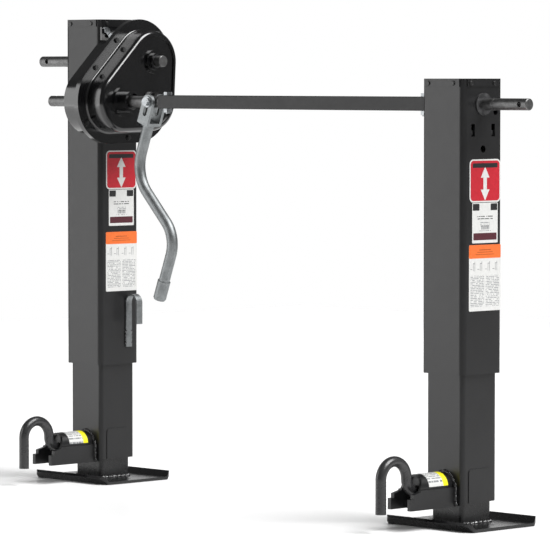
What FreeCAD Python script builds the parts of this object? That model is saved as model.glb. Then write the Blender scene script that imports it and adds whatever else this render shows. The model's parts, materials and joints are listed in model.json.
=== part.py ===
import FreeCAD, Part
import math
import os

# Tandem drop-leg trailer jack. Millimetres, +Z up.
# The origin is the middle of the primary foot's underside, +X runs along the drive shafts
# towards the secondary leg, and the pull pins point towards -Y.

# ---- square tubes (section sizes of structural tube) ----
OUTER_W, OUTER_WALL, OUTER_R = 101.6, 4.76, 10.0
RAM_W, RAM_WALL, RAM_R = 88.9, 4.76, 8.0
DROP_W, DROP_WALL, DROP_R = 76.2, 6.35, 8.0
OUTER_HALF = OUTER_W / 2
RAM_HALF = RAM_W / 2
OUTER_BORE = OUTER_W - 2 * OUTER_WALL
RAM_BORE = RAM_W - 2 * RAM_WALL
RAM_BOTTOM = 44.0
RAM_TRAVEL = 304.8
PAD_T, PAD_HALF_Y, PAD_H, PAD_R = 1.2, 29.0, 60.0, 8.0

# ---- drop leg, foot and pull pin ----
HOLE_PITCH = 50.8
HOLE_COUNT = 7
PIN_Z = 70.0
PIN_R = 9.525
PIN_HOLE_R = 10.3
PIN_PLAY = 0.08
DROP_TOP = 410.0
FOOT_X, FOOT_Y, FOOT_T, FOOT_R = 210.0, 182.0, 6.0, 16.0
FOOT_LIP = 13.0
FOOT_HOLE_R = 5.0
FOOT_HOLE_X, FOOT_HOLE_Y = 75.0, 0.0

# ---- pull pin bracket and cane ----
BRACKET_R, BRACKET_T = 24.0, 4.0
BRACKET_CROWN_Z = PIN_Z + 5.0
BRACKET_BOTTOM = 38.0
BRACKET_CROWN_END = -121.0
BRACKET_TIP = -159.0
BRACKET_SHOULDER_Z = 66.0
SIDE_PLATE_OUT, SIDE_PLATE_TOP = 28.0, 73.0
GUIDE_Y, GUIDE_T = -116.0, 4.0
PIN_LABEL_Y = (-108.0, -60.0)
PIN_TIP_Y = -27.5
WASHER_Y, WASHER_T, WASHER_R = -61.0, 3.0, 15.0
SPRING_WIRE, SPRING_COILS, SPRING_R = 2.0, 7, 13.0
CANE_R = 32.0
CANE_TOP_Z = 93.0
CANE_LOW_Z = 34.0
CANE_NEAR_Y = -141.0
CANE_BEND_R = 22.0

# ---- shafts and gears ----
SHAFT_R = 11.11
END_R = 10.5
RUN_GAP = 0.05
BOLT_R = 4.76
BOLT_FLATS, BOLT_HEAD_H, NUT_HEIGHT = 14.3, 6.2, 7.5
LOCKNUT_H, LOCK_COLLAR_H, LOCK_COLLAR_R = 7.0, 2.5, 6.6
CRANK_BOLT_PAST = 11.0
BOLT_HOLE_R = 4.81
MODULE_SPUR, TEETH_SPUR = 4.0, 19
MODULE_BEVEL, TEETH_PINION, TEETH_WHEEL = 3.0, 14, 28
FACE_BEVEL = 12.0
FACE_SPUR = 24.0
GEAR_X = 90.0
SPUR_PITCH_R = MODULE_SPUR * TEETH_SPUR / 2
BEVEL_PITCH_R = MODULE_BEVEL * TEETH_WHEEL / 2
PINION_PITCH_R = MODULE_BEVEL * TEETH_PINION / 2
BACKLASH = 0.86

# ---- lead screw and what holds it ----
SCREW_R, JOURNAL_R = 14.3, 12.7
NUT_H = 25.0
SCREW_SPARE = 8.0
COLLAR_R = 22.0
BEVEL_HUB_R = 20.0
PLATE_DROP, PLATE_T = 46.0, 9.0
BEARING_H, BEARING_R, BEARING_GROOVE_R = 14.0, 30.0, 1.6
JOURNAL_DOWN = 18.5
WHEEL_BACK, PINION_BACK, PINION_HUB_END, PINION_HUB_R = 31.0, 44.6, 45.6, 16.0
COLLAR_H = 6.0
RAM_TOP_GAP = 5.0

# ---- heads: shaft heights, tube ends ----
MAIN_Z = 827.0
DRIVE_Y, DRIVE_Z = -80.0, 749.0
PRIMARY_TOP, PRIMARY_BOTTOM = 907.0, 231.0
SECONDARY_TOP, SECONDARY_BOTTOM = 792.0, 272.0
LEG_SPACING = 1050.0
CAP_T, CAP_SKIRT, CAP_RELIEF = 2.0, 12.0, 9.0
CAP_SCREW_AT = (-33.0, 27.0)
CAP_SCREW_R, CAP_SCREW_HEAD_R, CAP_SCREW_HEAD_H = 2.4, 4.2, 2.0

# ---- holes in the outer tubes: the primary's side slot (x, x, z, z), then the secondary's face ----
SIDE_SLOT = (-36.0, -31.0, 742.0, 762.0)
FACE_SLOT_Y, FACE_SLOT_W = 26.0, 9.0
FACE_SLOT_LOW, FACE_SLOT_HIGH = 100.0, 78.0
FACE_HOLES = ((32.0, 57.0, 5.5), (0.0, 122.0, 6.5))

# ---- shaft ends along X ----
MAIN_BACK, MAIN_FRONT = -178.0, 180.0
MAIN_BACK_HOLE = MAIN_BACK + 23.0
MAIN_FRONT_HOLE = MAIN_FRONT - 12.0
DRIVE_BACK, DRIVE_FRONT = -59.0, 292.0
DRIVE_BACK_HOLE = DRIVE_BACK + 14.0
CRANK_X = 242.0
TUBE_START = 266.0
TUBE_BOLT_IN = 14.0
TUBE_W, TUBE_BORE_R, TUBE_R = 25.4, 11.18, 1.6
TUBE_OVERLAP = 34.0
SECOND_BACK = LEG_SPACING - OUTER_HALF - 60.0
SECOND_FRONT = LEG_SPACING + OUTER_HALF + 110.0
LONG_END, SHORT_END = 80.0, 44.0
END_CHAMFER = 1.2
HOLE_REACH = 20.0

# ---- gearbox ----
BOX_BACK = OUTER_HALF
BOX_WALL = 4.0
BOX_JOINT = 107.0
BOX_FRONT = 156.0
REAR_R = 64.0
FRONT_R = 59.5
FLANGE_R = 82.0
FLANGE_T_REAR, FLANGE_T_FRONT = 6.0, 5.0
PANEL_R, PANEL_DEPTH = 49.5, 2.6
FRONT_ROUND = 8.0
FOOT_ROUND = 4.0
FLANGE_SCREW_AT = 72.0
PLATE_HALF_Y, PLATE_LOW, PLATE_HIGH = 49.0, 667.0, 894.0
MOUNT_BOLT_Y, MOUNT_BOLT_Z = 38.0, (675.5, 887.0)
IDLER_R = 10.0
BUSH_R = 15.9
BUSH_LIP, BUSH_LIP_T = 4.0, 2.5
BUSH_STAND = 4.0
MAIN_FRONT_BUSH_R = 13.9
MOUNT_BOLT_R = 3.97
FLANGE_SCREW_R = 2.5
FITTING_AT = (-33.0, 706.0)
FITTING_R = 3.5
REAR_BOSS_R, REAR_BOSS_H = 20.0, 8.0
MAIN_BOSSES = ((23.5, 3.0), (17.5, 9.0))
DRIVE_BOSSES = ((29.0, 2.0), (21.0, 25.0))
IDLER_BOSS_R, IDLER_BOSS_H = 18.0, 3.0
FLANGE_HEAD_FLATS, FLANGE_HEAD_H, FLANGE_WASHER_R, FLANGE_WASHER_H = 8.0, 4.0, 5.4, 1.2
MOUNT_HEAD_FLATS, MOUNT_HEAD_H = 12.7, 5.3
IDLER_PAST = 14.0
IDLER_NUT_FLATS, IDLER_NUT_H, IDLER_WASHER_R, IDLER_WASHER_H = 27.0, 8.5, 16.5, 1.5

# ---- crank ----
CRANK_TUBE_R = 10.65
CRANK_LEAN = 21.0
CRANK_BEND = 65.0
CRANK_RUNS = (151.0, 163.0, 130.0)
CRANK_RADII = (73.0, 60.0)
FORK_GAP, FORK_T, FORK_W = 25.0, 6.0, 29.0
FORK_ABOVE, FORK_BELOW = 14.0, 46.0
SLOT_W, SLOT_LENGTH = 10.5, 34.0
CRANK_BORE_R = 7.9
SLEEVE_LENGTH, SLEEVE_T = 36.0, 1.8
CHEEK_OUT = FORK_GAP / 2 + FORK_T
BOLT_WASHER_T, BOLT_WASHER_R = 2.0, 10.5
SIDE_GAP = 0.3

# ---- labels on the +X faces: middle height, width, height ----
LABEL_T, LABEL_SHIFT = 0.4, 5.0
EMBLEM = (614.0, 80.0, 76.0)
RATING = (539.5, 66.0, 71.0)
NOTICE = (433.5, 82.0, 117.0)
SECOND_NOTICE_RISE = 9.0

# ---- handle clip welded on the primary leg ----
CLIP_Y, CLIP_Z, CLIP_W, CLIP_T = 15.0, 308.0, 15.0, 3.0
CLIP_LONG, CLIP_SHORT, CLIP_GAP_R = 88.0, 42.0, 14.0


def vec(x, y, z):
    return FreeCAD.Vector(x, y, z)


X_AXIS, Y_AXIS, Z_AXIS = vec(1, 0, 0), vec(0, 1, 0), vec(0, 0, 1)


def box(x0, x1, y0, y1, z0, z1):
    """A box between two corners."""
    return Part.makeBox(x1 - x0, y1 - y0, z1 - z0, vec(x0, y0, z0))


def rod_x(x0, x1, y, z, radius):
    """A round bar along X."""
    return Part.makeCylinder(radius, x1 - x0, vec(x0, y, z), X_AXIS)


def rod_y(y0, y1, x, z, radius):
    """A round bar along Y."""
    return Part.makeCylinder(radius, y1 - y0, vec(x, y0, z), Y_AXIS)


def rod_z(z0, z1, x, y, radius):
    """A round bar along Z."""
    return Part.makeCylinder(radius, z1 - z0, vec(x, y, z0), Z_AXIS)


def fused(shapes):
    """One solid made of several that meet."""
    shape = shapes[0].multiFuse(shapes[1:]) if len(shapes) > 1 else shapes[0]
    return shape.removeSplitter()


def group(shapes):
    """Separate solids that share a node."""
    solids = [solid for shape in shapes for solid in shape.Solids]
    return Part.makeCompound(solids)


def polygon_wire(points):
    """A closed wire through points."""
    return Part.makePolygon(list(points) + [points[0]])


def prism(points, direction):
    """A straight-sided solid: an outline pushed along a vector."""
    return Part.Face(polygon_wire(points)).extrude(direction)


def rounded_bar(cx, cy, half_x, half_y, radius, z0, z1):
    """A vertical bar whose four long edges are rounded."""
    bar = box(cx - half_x, cx + half_x, cy - half_y, cy + half_y, z0, z1)
    edges = [e for e in bar.Edges if abs(e.tangentAt(e.FirstParameter).z) > 0.99]
    return bar.makeFillet(radius, edges)


def square_tube(leg, width, wall, radius, z0, z1):
    """A square tube with round corners, standing on a leg's centre line."""
    outside = rounded_bar(leg.x, leg.y, width / 2, width / 2, radius, z0, z1)
    bore = width / 2 - wall
    return outside.cut(rounded_bar(leg.x, leg.y, bore, bore, radius - wall, z0, z1))


def hexagon(centre, axis, side, flats, height):
    """A hexagonal prism from centre along axis. side is any direction across it."""
    axis = vec(axis.x, axis.y, axis.z).normalize()
    across = axis.cross(side).normalize()
    reach = flats / math.sqrt(3)
    corners = []
    for i in range(6):
        turn = math.radians(60 * i)
        corners.append(centre + side * (reach * math.cos(turn)) + across * (reach * math.sin(turn)))
    return prism(corners, axis * height)


def hull_bar(centres, radius, x0, x1):
    """A bar along X whose section is the tight outline of equal circles, anticlockwise in YZ."""
    edges = []
    count = len(centres)
    for i in range(count):
        before, here, after = centres[i - 1], centres[i], centres[(i + 1) % count]
        turn_in = math.atan2(here[1] - before[1], here[0] - before[0]) - math.pi / 2
        turn_out = math.atan2(after[1] - here[1], after[0] - here[0]) - math.pi / 2
        while turn_out < turn_in:
            turn_out += 2 * math.pi
        ends = []
        for turn in (turn_in, (turn_in + turn_out) / 2, turn_out):
            ends.append(vec(x0, here[0] + radius * math.cos(turn), here[1] + radius * math.sin(turn)))
        edges.append(Part.Arc(*ends).toShape())
        next_y = after[0] + radius * math.cos(turn_out)
        start_next = vec(x0, next_y, after[1] + radius * math.sin(turn_out))
        edges.append(Part.LineSegment(ends[2], start_next).toShape())
    return Part.Face(Part.Wire(edges)).extrude(vec(x1 - x0, 0, 0))


class Leg:
    """One jack leg: where it stands and how high its head shaft and tube are."""

    def __init__(self, name, x, y, head_z, top, bottom):
        self.name = name
        self.x = x
        self.y = y
        self.head_z = head_z
        self.top = top
        self.bottom = bottom
        self.plate_top = head_z - PLATE_DROP
        self.plate_low = self.plate_top - PLATE_T
        self.collar_top = self.plate_low - BEARING_H - 0.1
        self.ram_top = self.collar_top - COLLAR_H - RAM_TOP_GAP
        self.screw_low = self.ram_top - NUT_H - RAM_TRAVEL - SCREW_SPARE

    def at(self, x, y, z):
        """A point given from the leg's own centre line."""
        return vec(self.x + x, self.y + y, z)

    def node(self, piece):
        """The node name of one of this leg's pieces."""
        return self.name + "_" + piece


PRIMARY = Leg("primary", 0.0, 0.0, MAIN_Z, PRIMARY_TOP, PRIMARY_BOTTOM)
SECONDARY = Leg("secondary", LEG_SPACING, DRIVE_Y, DRIVE_Z, SECONDARY_TOP, SECONDARY_BOTTOM)
LEGS = (PRIMARY, SECONDARY)


def idler_centre():
    """The point that is one gear distance from both the drive and the main shaft, on +Y's side."""
    distance = 2 * SPUR_PITCH_R
    half_y, half_z = -DRIVE_Y / 2, (MAIN_Z - DRIVE_Z) / 2
    half = math.hypot(half_y, half_z)
    off = math.sqrt(distance**2 - half**2)
    return DRIVE_Y + half_y + off * half_z / half, DRIVE_Z + half_z - off * half_y / half


IDLER_Y, IDLER_Z = idler_centre()
CENTRES = ((DRIVE_Y, DRIVE_Z), (IDLER_Y, IDLER_Z), (0.0, MAIN_Z))


# ---------------------------------------------------------------- gears


def involute_half_angle(radius, pitch_r, teeth, base_r):
    """Half the angle that a tooth spans at a radius, thinned for backlash."""

    def roll(r):
        ratio = min(1.0, base_r / r)
        pressure = math.acos(ratio)
        return math.tan(pressure) - pressure

    half_at_pitch = math.pi / (2 * teeth) * BACKLASH
    return half_at_pitch + roll(pitch_r) - roll(max(radius, base_r))


def spur_outline(teeth, module, phase):
    """Points round a spur gear, with phase the angle of one tooth's middle."""
    pitch_r = module * teeth / 2
    base_r = pitch_r * math.cos(math.radians(20))
    radii = [pitch_r + share * module for share in (-1.25, -0.45, 0.2, 0.9)]
    flank = [(r, involute_half_angle(r, pitch_r, teeth, base_r)) for r in radii]
    outline = []
    for i in range(teeth):
        middle = phase + 2 * math.pi * i / teeth
        sides = [(r, middle - a) for r, a in flank] + [(r, middle + a) for r, a in reversed(flank)]
        outline += [(r * math.cos(t), r * math.sin(t)) for r, t in sides]
    return outline


def meshed_phase(from_centre, from_phase, to_centre, teeth):
    """The phase that puts a gear in mesh with an equal gear beside it."""
    line = math.atan2(to_centre[1] - from_centre[1], to_centre[0] - from_centre[0])
    pitch = 2 * math.pi / teeth
    share = (line - from_phase) / pitch
    return line + math.pi + pitch * (share - 0.5)


def spur_gear(centre, phase, bore_r):
    """A spur gear with a hub, turning about X at a point in YZ."""
    y, z = centre
    points = [vec(GEAR_X, y + a, z + b) for a, b in spur_outline(TEETH_SPUR, MODULE_SPUR, phase)]
    wheel = prism(points, vec(FACE_SPUR, 0, 0))
    hub = rod_x(GEAR_X - 5, GEAR_X + FACE_SPUR + 5, y, z, bore_r + 7)
    bore = rod_x(GEAR_X - 6, GEAR_X + FACE_SPUR + 6, y, z, bore_r)
    return wheel.fuse(hub).cut(bore).removeSplitter()


def bevel_gear(teeth, mate_teeth, phase, hub_points, bore_r):
    """A bevel gear about +Z with its cone's point at the origin, teeth facing that point from below.

    hub_points is the body's outline as (radius, distance below the cone's point).
    """
    cone = math.atan2(teeth, mate_teeth)
    pitch_r = MODULE_BEVEL * teeth / 2
    reach = pitch_r / math.sin(cone)
    virtual_teeth = teeth / math.cos(cone)
    virtual_r = pitch_r / math.cos(cone)
    base_r = virtual_r * math.cos(math.radians(20))
    heights = (-1.6 * MODULE_BEVEL, -0.45 * MODULE_BEVEL, 0.2 * MODULE_BEVEL, 0.9 * MODULE_BEVEL)
    section = []
    for h in heights:
        angle = involute_half_angle(virtual_r + h, virtual_r, virtual_teeth, base_r)
        section.append((h, (virtual_r + h) * math.sin(angle)))
    outline = [(h, -t) for h, t in section] + [(h, t) for h, t in reversed(section)]
    shrink = (reach - FACE_BEVEL) / reach
    pieces = []
    for i in range(teeth):
        turn = phase + 2 * math.pi * i / teeth
        radial = vec(math.cos(turn), math.sin(turn), 0)
        around = vec(-math.sin(turn), math.cos(turn), 0)
        point = radial * pitch_r - Z_AXIS * (pitch_r / math.tan(cone))
        rise = radial * math.cos(cone) + Z_AXIS * math.sin(cone)
        big = [point + rise * h + around * t for h, t in outline]
        small = [p * shrink for p in big]
        pieces.append(Part.makeLoft([polygon_wire(big), polygon_wire(small)], True, True))
    profile = [vec(r, 0, -d) for r, d in hub_points]
    body = Part.Face(polygon_wire(profile)).revolve(vec(0, 0, 0), Z_AXIS, 360)
    whole = body.multiFuse(pieces)
    low = max(d for r, d in hub_points)
    return whole.cut(rod_z(-low - 1, 1, 0, 0, bore_r)).removeSplitter()


def bevel_body(teeth, mate_teeth, back, hub_r, hub_end):
    """The outline of a bevel gear's body, just under its teeth's roots."""
    cone = math.atan2(teeth, mate_teeth)
    pitch_r = MODULE_BEVEL * teeth / 2
    reach = pitch_r / math.sin(cone)
    shrink = (reach - FACE_BEVEL) / reach
    root = 1.25 * MODULE_BEVEL
    big_r = pitch_r - root * math.cos(cone)
    big_d = pitch_r / math.tan(cone) + root * math.sin(cone)
    small_r, small_d = big_r * shrink, big_d * shrink
    face = [(0, small_d), (small_r, small_d), (big_r, big_d), (big_r, back)]
    return face + [(hub_r, back), (hub_r, hub_end), (0, hub_end)]


# ---------------------------------------------------------------- one leg


def outer_tube(leg):
    """The fixed square tube with its shaft, screw and gearbox holes."""
    tube = square_tube(leg, OUTER_W, OUTER_WALL, OUTER_R, leg.bottom, leg.top)
    cuts = [rod_x(leg.x - OUTER_HALF - 1, leg.x + OUTER_HALF + 1, leg.y, leg.head_z, BUSH_R)]
    cuts += cap_screw_shanks(leg)
    face = leg.x + OUTER_HALF
    inside = face - OUTER_WALL
    if leg is PRIMARY:
        for y in (-MOUNT_BOLT_Y, MOUNT_BOLT_Y):
            for z in MOUNT_BOLT_Z:
                cuts.append(rod_x(inside - 1, face + 1, y, z, MOUNT_BOLT_R))
        x0, x1, z0, z1 = SIDE_SLOT
        cuts.append(box(x0, x1, -OUTER_HALF - 1, -OUTER_HALF + OUTER_WALL + 1, z0, z1))
    else:
        for side in (-1, 1):
            y0 = leg.y + side * FACE_SLOT_Y - FACE_SLOT_W / 2
            z0, z1 = leg.top - FACE_SLOT_LOW, leg.top - FACE_SLOT_HIGH
            cuts.append(box(inside - 1, face + 1, y0, y0 + FACE_SLOT_W, z0, z1))
        for y, down, radius in FACE_HOLES:
            cuts.append(rod_x(inside - 1, face + 1, leg.y + y, leg.top - down, radius))
    return tube.cut(Part.makeCompound(cuts))


def cap_screw_places(leg):
    """Centres and outward directions of the cap's eight screws."""
    z = leg.top - CAP_SKIRT / 2
    places = []
    for along in CAP_SCREW_AT:
        places.append((leg.at(along, -OUTER_HALF, z), vec(0, -1, 0)))
        places.append((leg.at(-along, OUTER_HALF, z), vec(0, 1, 0)))
        places.append((leg.at(OUTER_HALF, along, z), vec(1, 0, 0)))
        places.append((leg.at(-OUTER_HALF, -along, z), vec(-1, 0, 0)))
    return places


def cap_screw_shanks(leg):
    """The round shanks that the cap's screws push through skirt and tube."""
    shanks = []
    for point, out in cap_screw_places(leg):
        start = point - out * (OUTER_WALL + 3)
        shanks.append(Part.makeCylinder(CAP_SCREW_R, OUTER_WALL + 3 + CAP_T, start, out))
    return shanks


def top_cap(leg):
    """A folded sheet cap: a flat top with four skirts that stop short of the corners."""
    outer, gap = OUTER_HALF + CAP_T, OUTER_HALF - CAP_RELIEF
    low, top = leg.top - CAP_SKIRT, leg.top + CAP_T
    parts = [rounded_bar(leg.x, leg.y, OUTER_HALF, OUTER_HALF, OUTER_R, leg.top, top)]
    for sx, sy in ((1, 0), (-1, 0), (0, 1), (0, -1)):
        near_x, far_x = sorted((sx * OUTER_HALF, sx * outer)) if sx else (-gap, gap)
        near_y, far_y = sorted((sy * OUTER_HALF, sy * outer)) if sy else (-gap, gap)
        parts.append(box(leg.x + near_x, leg.x + far_x, leg.y + near_y, leg.y + far_y, low, top))
    return fused(parts).cut(Part.makeCompound(cap_screw_shanks(leg)))


def cap_screws(leg):
    """Round-headed sheet screws."""
    screws = []
    for (point, out), shank in zip(cap_screw_places(leg), cap_screw_shanks(leg)):
        base = point + out * CAP_T
        head = Part.makeCylinder(CAP_SCREW_HEAD_R, CAP_SCREW_HEAD_H, base, out)
        rim = [e for e in head.Edges if abs((e.CenterOfMass - base).dot(out) - CAP_SCREW_HEAD_H) < 0.01]
        screws.append(head.makeFillet(1.0, rim).fuse(shank).removeSplitter())
    return screws


def head_bushings(leg):
    """Two flanged bushes that the head shaft runs in."""
    y, z = leg.y, leg.head_z
    bushes = []
    ends = [(leg.x - OUTER_HALF, -1)]
    ends.append((BOX_BACK + BOX_WALL, 1) if leg is PRIMARY else (leg.x + OUTER_HALF, 1))
    for face, out in ends:
        inner = leg.x + out * (OUTER_HALF - OUTER_WALL)
        barrel = rod_x(min(face, inner), max(face, inner), y, z, BUSH_R)
        lip_end = face + BUSH_LIP_T * out
        lip = rod_x(min(face, lip_end), max(face, lip_end), y, z, BUSH_R + BUSH_LIP)
        hole = rod_x(min(face, inner) - 4, max(face, inner) + 4, y, z, SHAFT_R + RUN_GAP)
        bushes.append(barrel.fuse(lip).cut(hole).removeSplitter())
    return bushes


def bearing_plate(leg):
    """The welded plate that takes the lead screw's thrust."""
    half = OUTER_BORE / 2
    plate = rounded_bar(leg.x, leg.y, half, half, OUTER_R - OUTER_WALL, leg.plate_low, leg.plate_top)
    return plate.cut(rod_z(leg.plate_low - 1, leg.plate_top + 1, leg.x, leg.y, JOURNAL_R + RUN_GAP))


def thrust_bearing(leg):
    """The thrust bearing under the plate."""
    low = leg.plate_low - BEARING_H
    ring = rod_z(low, leg.plate_low, leg.x, leg.y, BEARING_R)
    groove = Part.makeTorus(BEARING_R, BEARING_GROOVE_R, leg.at(0, 0, low + BEARING_H / 2))
    return ring.cut(groove).cut(rod_z(low - 1, leg.plate_low + 1, leg.x, leg.y, JOURNAL_R + RUN_GAP))


def lead_screw(leg):
    """The lead screw: journal, thrust collar and the long working part."""
    journal_top = leg.head_z - JOURNAL_DOWN
    journal = rod_z(leg.collar_top, journal_top, leg.x, leg.y, JOURNAL_R)
    collar = rod_z(leg.collar_top - COLLAR_H, leg.collar_top, leg.x, leg.y, COLLAR_R)
    screw = rod_z(leg.screw_low, leg.collar_top - COLLAR_H, leg.x, leg.y, SCREW_R)
    return fused([journal, collar, screw])


def bevel_wheel(leg):
    """The large bevel gear on the lead screw."""
    body = bevel_body(TEETH_WHEEL, TEETH_PINION, WHEEL_BACK, BEVEL_HUB_R, PLATE_DROP - 1.0)
    wheel = bevel_gear(TEETH_WHEEL, TEETH_PINION, 0.0, body, JOURNAL_R)
    wheel.translate(leg.at(0, 0, leg.head_z))
    return wheel


def bevel_pinion(leg):
    """The small bevel gear on the head shaft."""
    body = bevel_body(TEETH_PINION, TEETH_WHEEL, PINION_BACK, PINION_HUB_R, PINION_HUB_END)
    pinion = bevel_gear(TEETH_PINION, TEETH_WHEEL, math.pi / TEETH_PINION, body, SHAFT_R)
    pinion.rotate(vec(0, 0, 0), Y_AXIS, -90)
    pinion.translate(leg.at(0, 0, leg.head_z))
    return pinion


def ram_tube(leg):
    """The sliding square tube with the pin hole and the pad on its +X face."""
    tube = square_tube(leg, RAM_W, RAM_WALL, RAM_R, RAM_BOTTOM, leg.ram_top)
    x0, x1 = leg.x + RAM_HALF - 0.5, leg.x + RAM_HALF + PAD_T
    pad = box(x0, x1, leg.y - PAD_HALF_Y, leg.y + PAD_HALF_Y, RAM_BOTTOM, RAM_BOTTOM + PAD_H)
    along_x = [e for e in pad.Edges if abs(e.tangentAt(e.FirstParameter).x) > 0.99]
    pad = pad.makeFillet(PAD_R, [e for e in along_x if e.CenterOfMass.z > RAM_BOTTOM + 1])
    hole = rod_y(leg.y - RAM_HALF - 1, leg.y - RAM_HALF + RAM_WALL + 1, leg.x, PIN_Z, PIN_R + PIN_PLAY)
    return tube.fuse(pad).removeSplitter().cut(hole)


def ram_nut(leg):
    """The square nut block at the ram's top."""
    half = RAM_BORE / 2
    block = rounded_bar(leg.x, leg.y, half, half, RAM_R - RAM_WALL, leg.ram_top - NUT_H, leg.ram_top)
    return block.cut(rod_z(leg.ram_top - NUT_H - 1, leg.ram_top + 1, leg.x, leg.y, SCREW_R + RUN_GAP))


def drop_leg(leg):
    """The inner leg with its row of pin holes through both Y walls."""
    tube = square_tube(leg, DROP_W, DROP_WALL, DROP_R, FOOT_T, DROP_TOP)
    holes = []
    for i in range(HOLE_COUNT):
        z = PIN_Z + HOLE_PITCH * i
        holes.append(rod_y(leg.y - DROP_W, leg.y + DROP_W, leg.x, z, PIN_HOLE_R))
    return tube.cut(Part.makeCompound(holes))


def foot_plate(leg):
    """The foot: a plate whose two Y edges turn up."""
    flat = FOOT_Y / 2 - FOOT_LIP
    rise = FOOT_LIP
    inner = flat - FOOT_T * math.tan(math.radians(22.5))
    tip_in, tip_z = FOOT_Y / 2 - FOOT_T * math.sqrt(0.5), rise + FOOT_T * math.sqrt(0.5)
    half = [(flat, 0), (FOOT_Y / 2, rise), (tip_in, tip_z), (inner, FOOT_T)]
    outline = [(-y, z) for y, z in reversed(half)] + half
    x0 = leg.x - FOOT_X / 2
    plate = prism([vec(x0, leg.y + y, z) for y, z in outline], vec(FOOT_X, 0, 0))
    limit = rounded_bar(leg.x, leg.y, FOOT_X / 2, FOOT_Y / 2, FOOT_R, -1, rise + 2 * FOOT_T)
    plate = plate.common(limit)
    holes = []
    for sx in (-1, 1):
        holes.append(rod_z(-1, FOOT_T + 1, leg.x + sx * FOOT_HOLE_X, leg.y + FOOT_HOLE_Y, FOOT_HOLE_R))
    return plate.cut(Part.makeCompound(holes))


def bracket_section(leg, radius, y0, y1):
    """A bar along Y shaped like an upside-down U, down to the bracket's bottom."""
    dome = rod_y(y0, y1, leg.x, BRACKET_CROWN_Z, radius)
    legs = box(leg.x - radius, leg.x + radius, y0, y1, BRACKET_BOTTOM, BRACKET_CROWN_Z)
    below = box(leg.x - 40, leg.x + 40, y0 - 1, y1 + 1, -10, BRACKET_BOTTOM)
    return dome.fuse(legs).cut(below).removeSplitter()


def pin_bracket(leg):
    """The bent bracket that guides and guards the pull pin."""
    near, tip = leg.y - RAM_HALF, leg.y + BRACKET_TIP
    shell = bracket_section(leg, BRACKET_R, tip, near)
    for side in (-1, 1):
        x0, x1 = sorted((side * (BRACKET_R - BRACKET_T), side * SIDE_PLATE_OUT))
        plate = box(leg.x + x0, leg.x + x1, tip, near, BRACKET_BOTTOM, SIDE_PLATE_TOP)
        shell = shell.fuse(plate).removeSplitter()
    shell = shell.cut(bracket_section(leg, BRACKET_R - BRACKET_T, tip - 1, near + 1))
    crown_y, top = leg.y + BRACKET_CROWN_END, BRACKET_CROWN_Z + BRACKET_R
    low = BRACKET_SHOULDER_Z
    slope = [(crown_y, top + 1), (crown_y, top - 6), (crown_y - 12, low + 4), (tip + 8, low)]
    slope += [(tip + 8, low - 8), (tip - 1, low - 8), (tip - 1, top + 1)]
    shell = shell.cut(prism([vec(leg.x - 40, y, z) for y, z in slope], vec(80, 0, 0)))
    guide_y = leg.y + GUIDE_Y
    guide = bracket_section(leg, BRACKET_R - BRACKET_T / 2, guide_y, guide_y + GUIDE_T)
    hole = rod_y(guide_y - 1, guide_y + GUIDE_T + 1, leg.x, PIN_Z, PIN_R + PIN_PLAY)
    return shell.fuse(guide).removeSplitter().cut(hole)


def pin_label(leg):
    """The wrapped label on the bracket's crown."""
    y0, y1 = leg.y + PIN_LABEL_Y[0], leg.y + PIN_LABEL_Y[1]
    band = rod_y(y0, y1, leg.x, BRACKET_CROWN_Z, BRACKET_R + LABEL_T)
    band = band.cut(rod_y(y0 - 1, y1 + 1, leg.x, BRACKET_CROWN_Z, BRACKET_R))
    above = box(leg.x - 30, leg.x + 30, y0, y1, BRACKET_CROWN_Z + 2, BRACKET_CROWN_Z + 40)
    return band.common(above)


def pull_pin(leg):
    """The pin and its cane handle, one bent bar in the plane x = leg.x."""
    far_y = CANE_NEAR_Y - 2 * CANE_R
    corner = CANE_NEAR_Y + CANE_BEND_R
    mid = math.sqrt(0.5) * CANE_BEND_R
    upright = leg.at(0, CANE_NEAR_Y, PIN_Z + CANE_BEND_R)
    edges = [
        Part.LineSegment(leg.at(0, PIN_TIP_Y, PIN_Z), leg.at(0, corner, PIN_Z)).toShape(),
        Part.Arc(
            leg.at(0, corner, PIN_Z),
            leg.at(0, corner - mid, PIN_Z + CANE_BEND_R - mid),
            upright,
        ).toShape(),
        Part.LineSegment(upright, leg.at(0, CANE_NEAR_Y, CANE_TOP_Z)).toShape(),
        Part.Arc(
            leg.at(0, CANE_NEAR_Y, CANE_TOP_Z),
            leg.at(0, CANE_NEAR_Y - CANE_R, CANE_TOP_Z + CANE_R),
            leg.at(0, far_y, CANE_TOP_Z),
        ).toShape(),
        Part.LineSegment(leg.at(0, far_y, CANE_TOP_Z), leg.at(0, far_y, CANE_LOW_Z)).toShape(),
    ]
    section = Part.Wire([Part.Circle(leg.at(0, PIN_TIP_Y, PIN_Z), Y_AXIS, PIN_R).toShape()])
    return Part.Wire(edges).makePipeShell([section], True, True)


def ring_y(leg, y, thickness, outer, bore):
    """A flat ring about the pin."""
    ring = rod_y(leg.y + y, leg.y + y + thickness, leg.x, PIN_Z, outer)
    return ring.cut(rod_y(leg.y + y - 1, leg.y + y + thickness + 1, leg.x, PIN_Z, bore))


def pin_spring(leg):
    """The return spring's coils between the guide and the pin's washer."""
    start, end = GUIDE_Y + GUIDE_T + SPRING_WIRE / 2, WASHER_Y - SPRING_WIRE / 2
    coils = []
    for i in range(SPRING_COILS):
        y = start + (end - start) * i / (SPRING_COILS - 1)
        coils.append(Part.makeTorus(SPRING_R, SPRING_WIRE / 2, leg.at(0, y, PIN_Z), Y_AXIS))
    return group(coils)


# ---------------------------------------------------------------- shafts


def cross_hole(x, y, z, upright):
    """A bolt hole through a shaft, along Z or along Y."""
    if upright:
        return rod_z(z - HOLE_REACH, z + HOLE_REACH, x, y, BOLT_HOLE_R)
    return rod_y(y - HOLE_REACH, y + HOLE_REACH, x, z, BOLT_HOLE_R)


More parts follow.
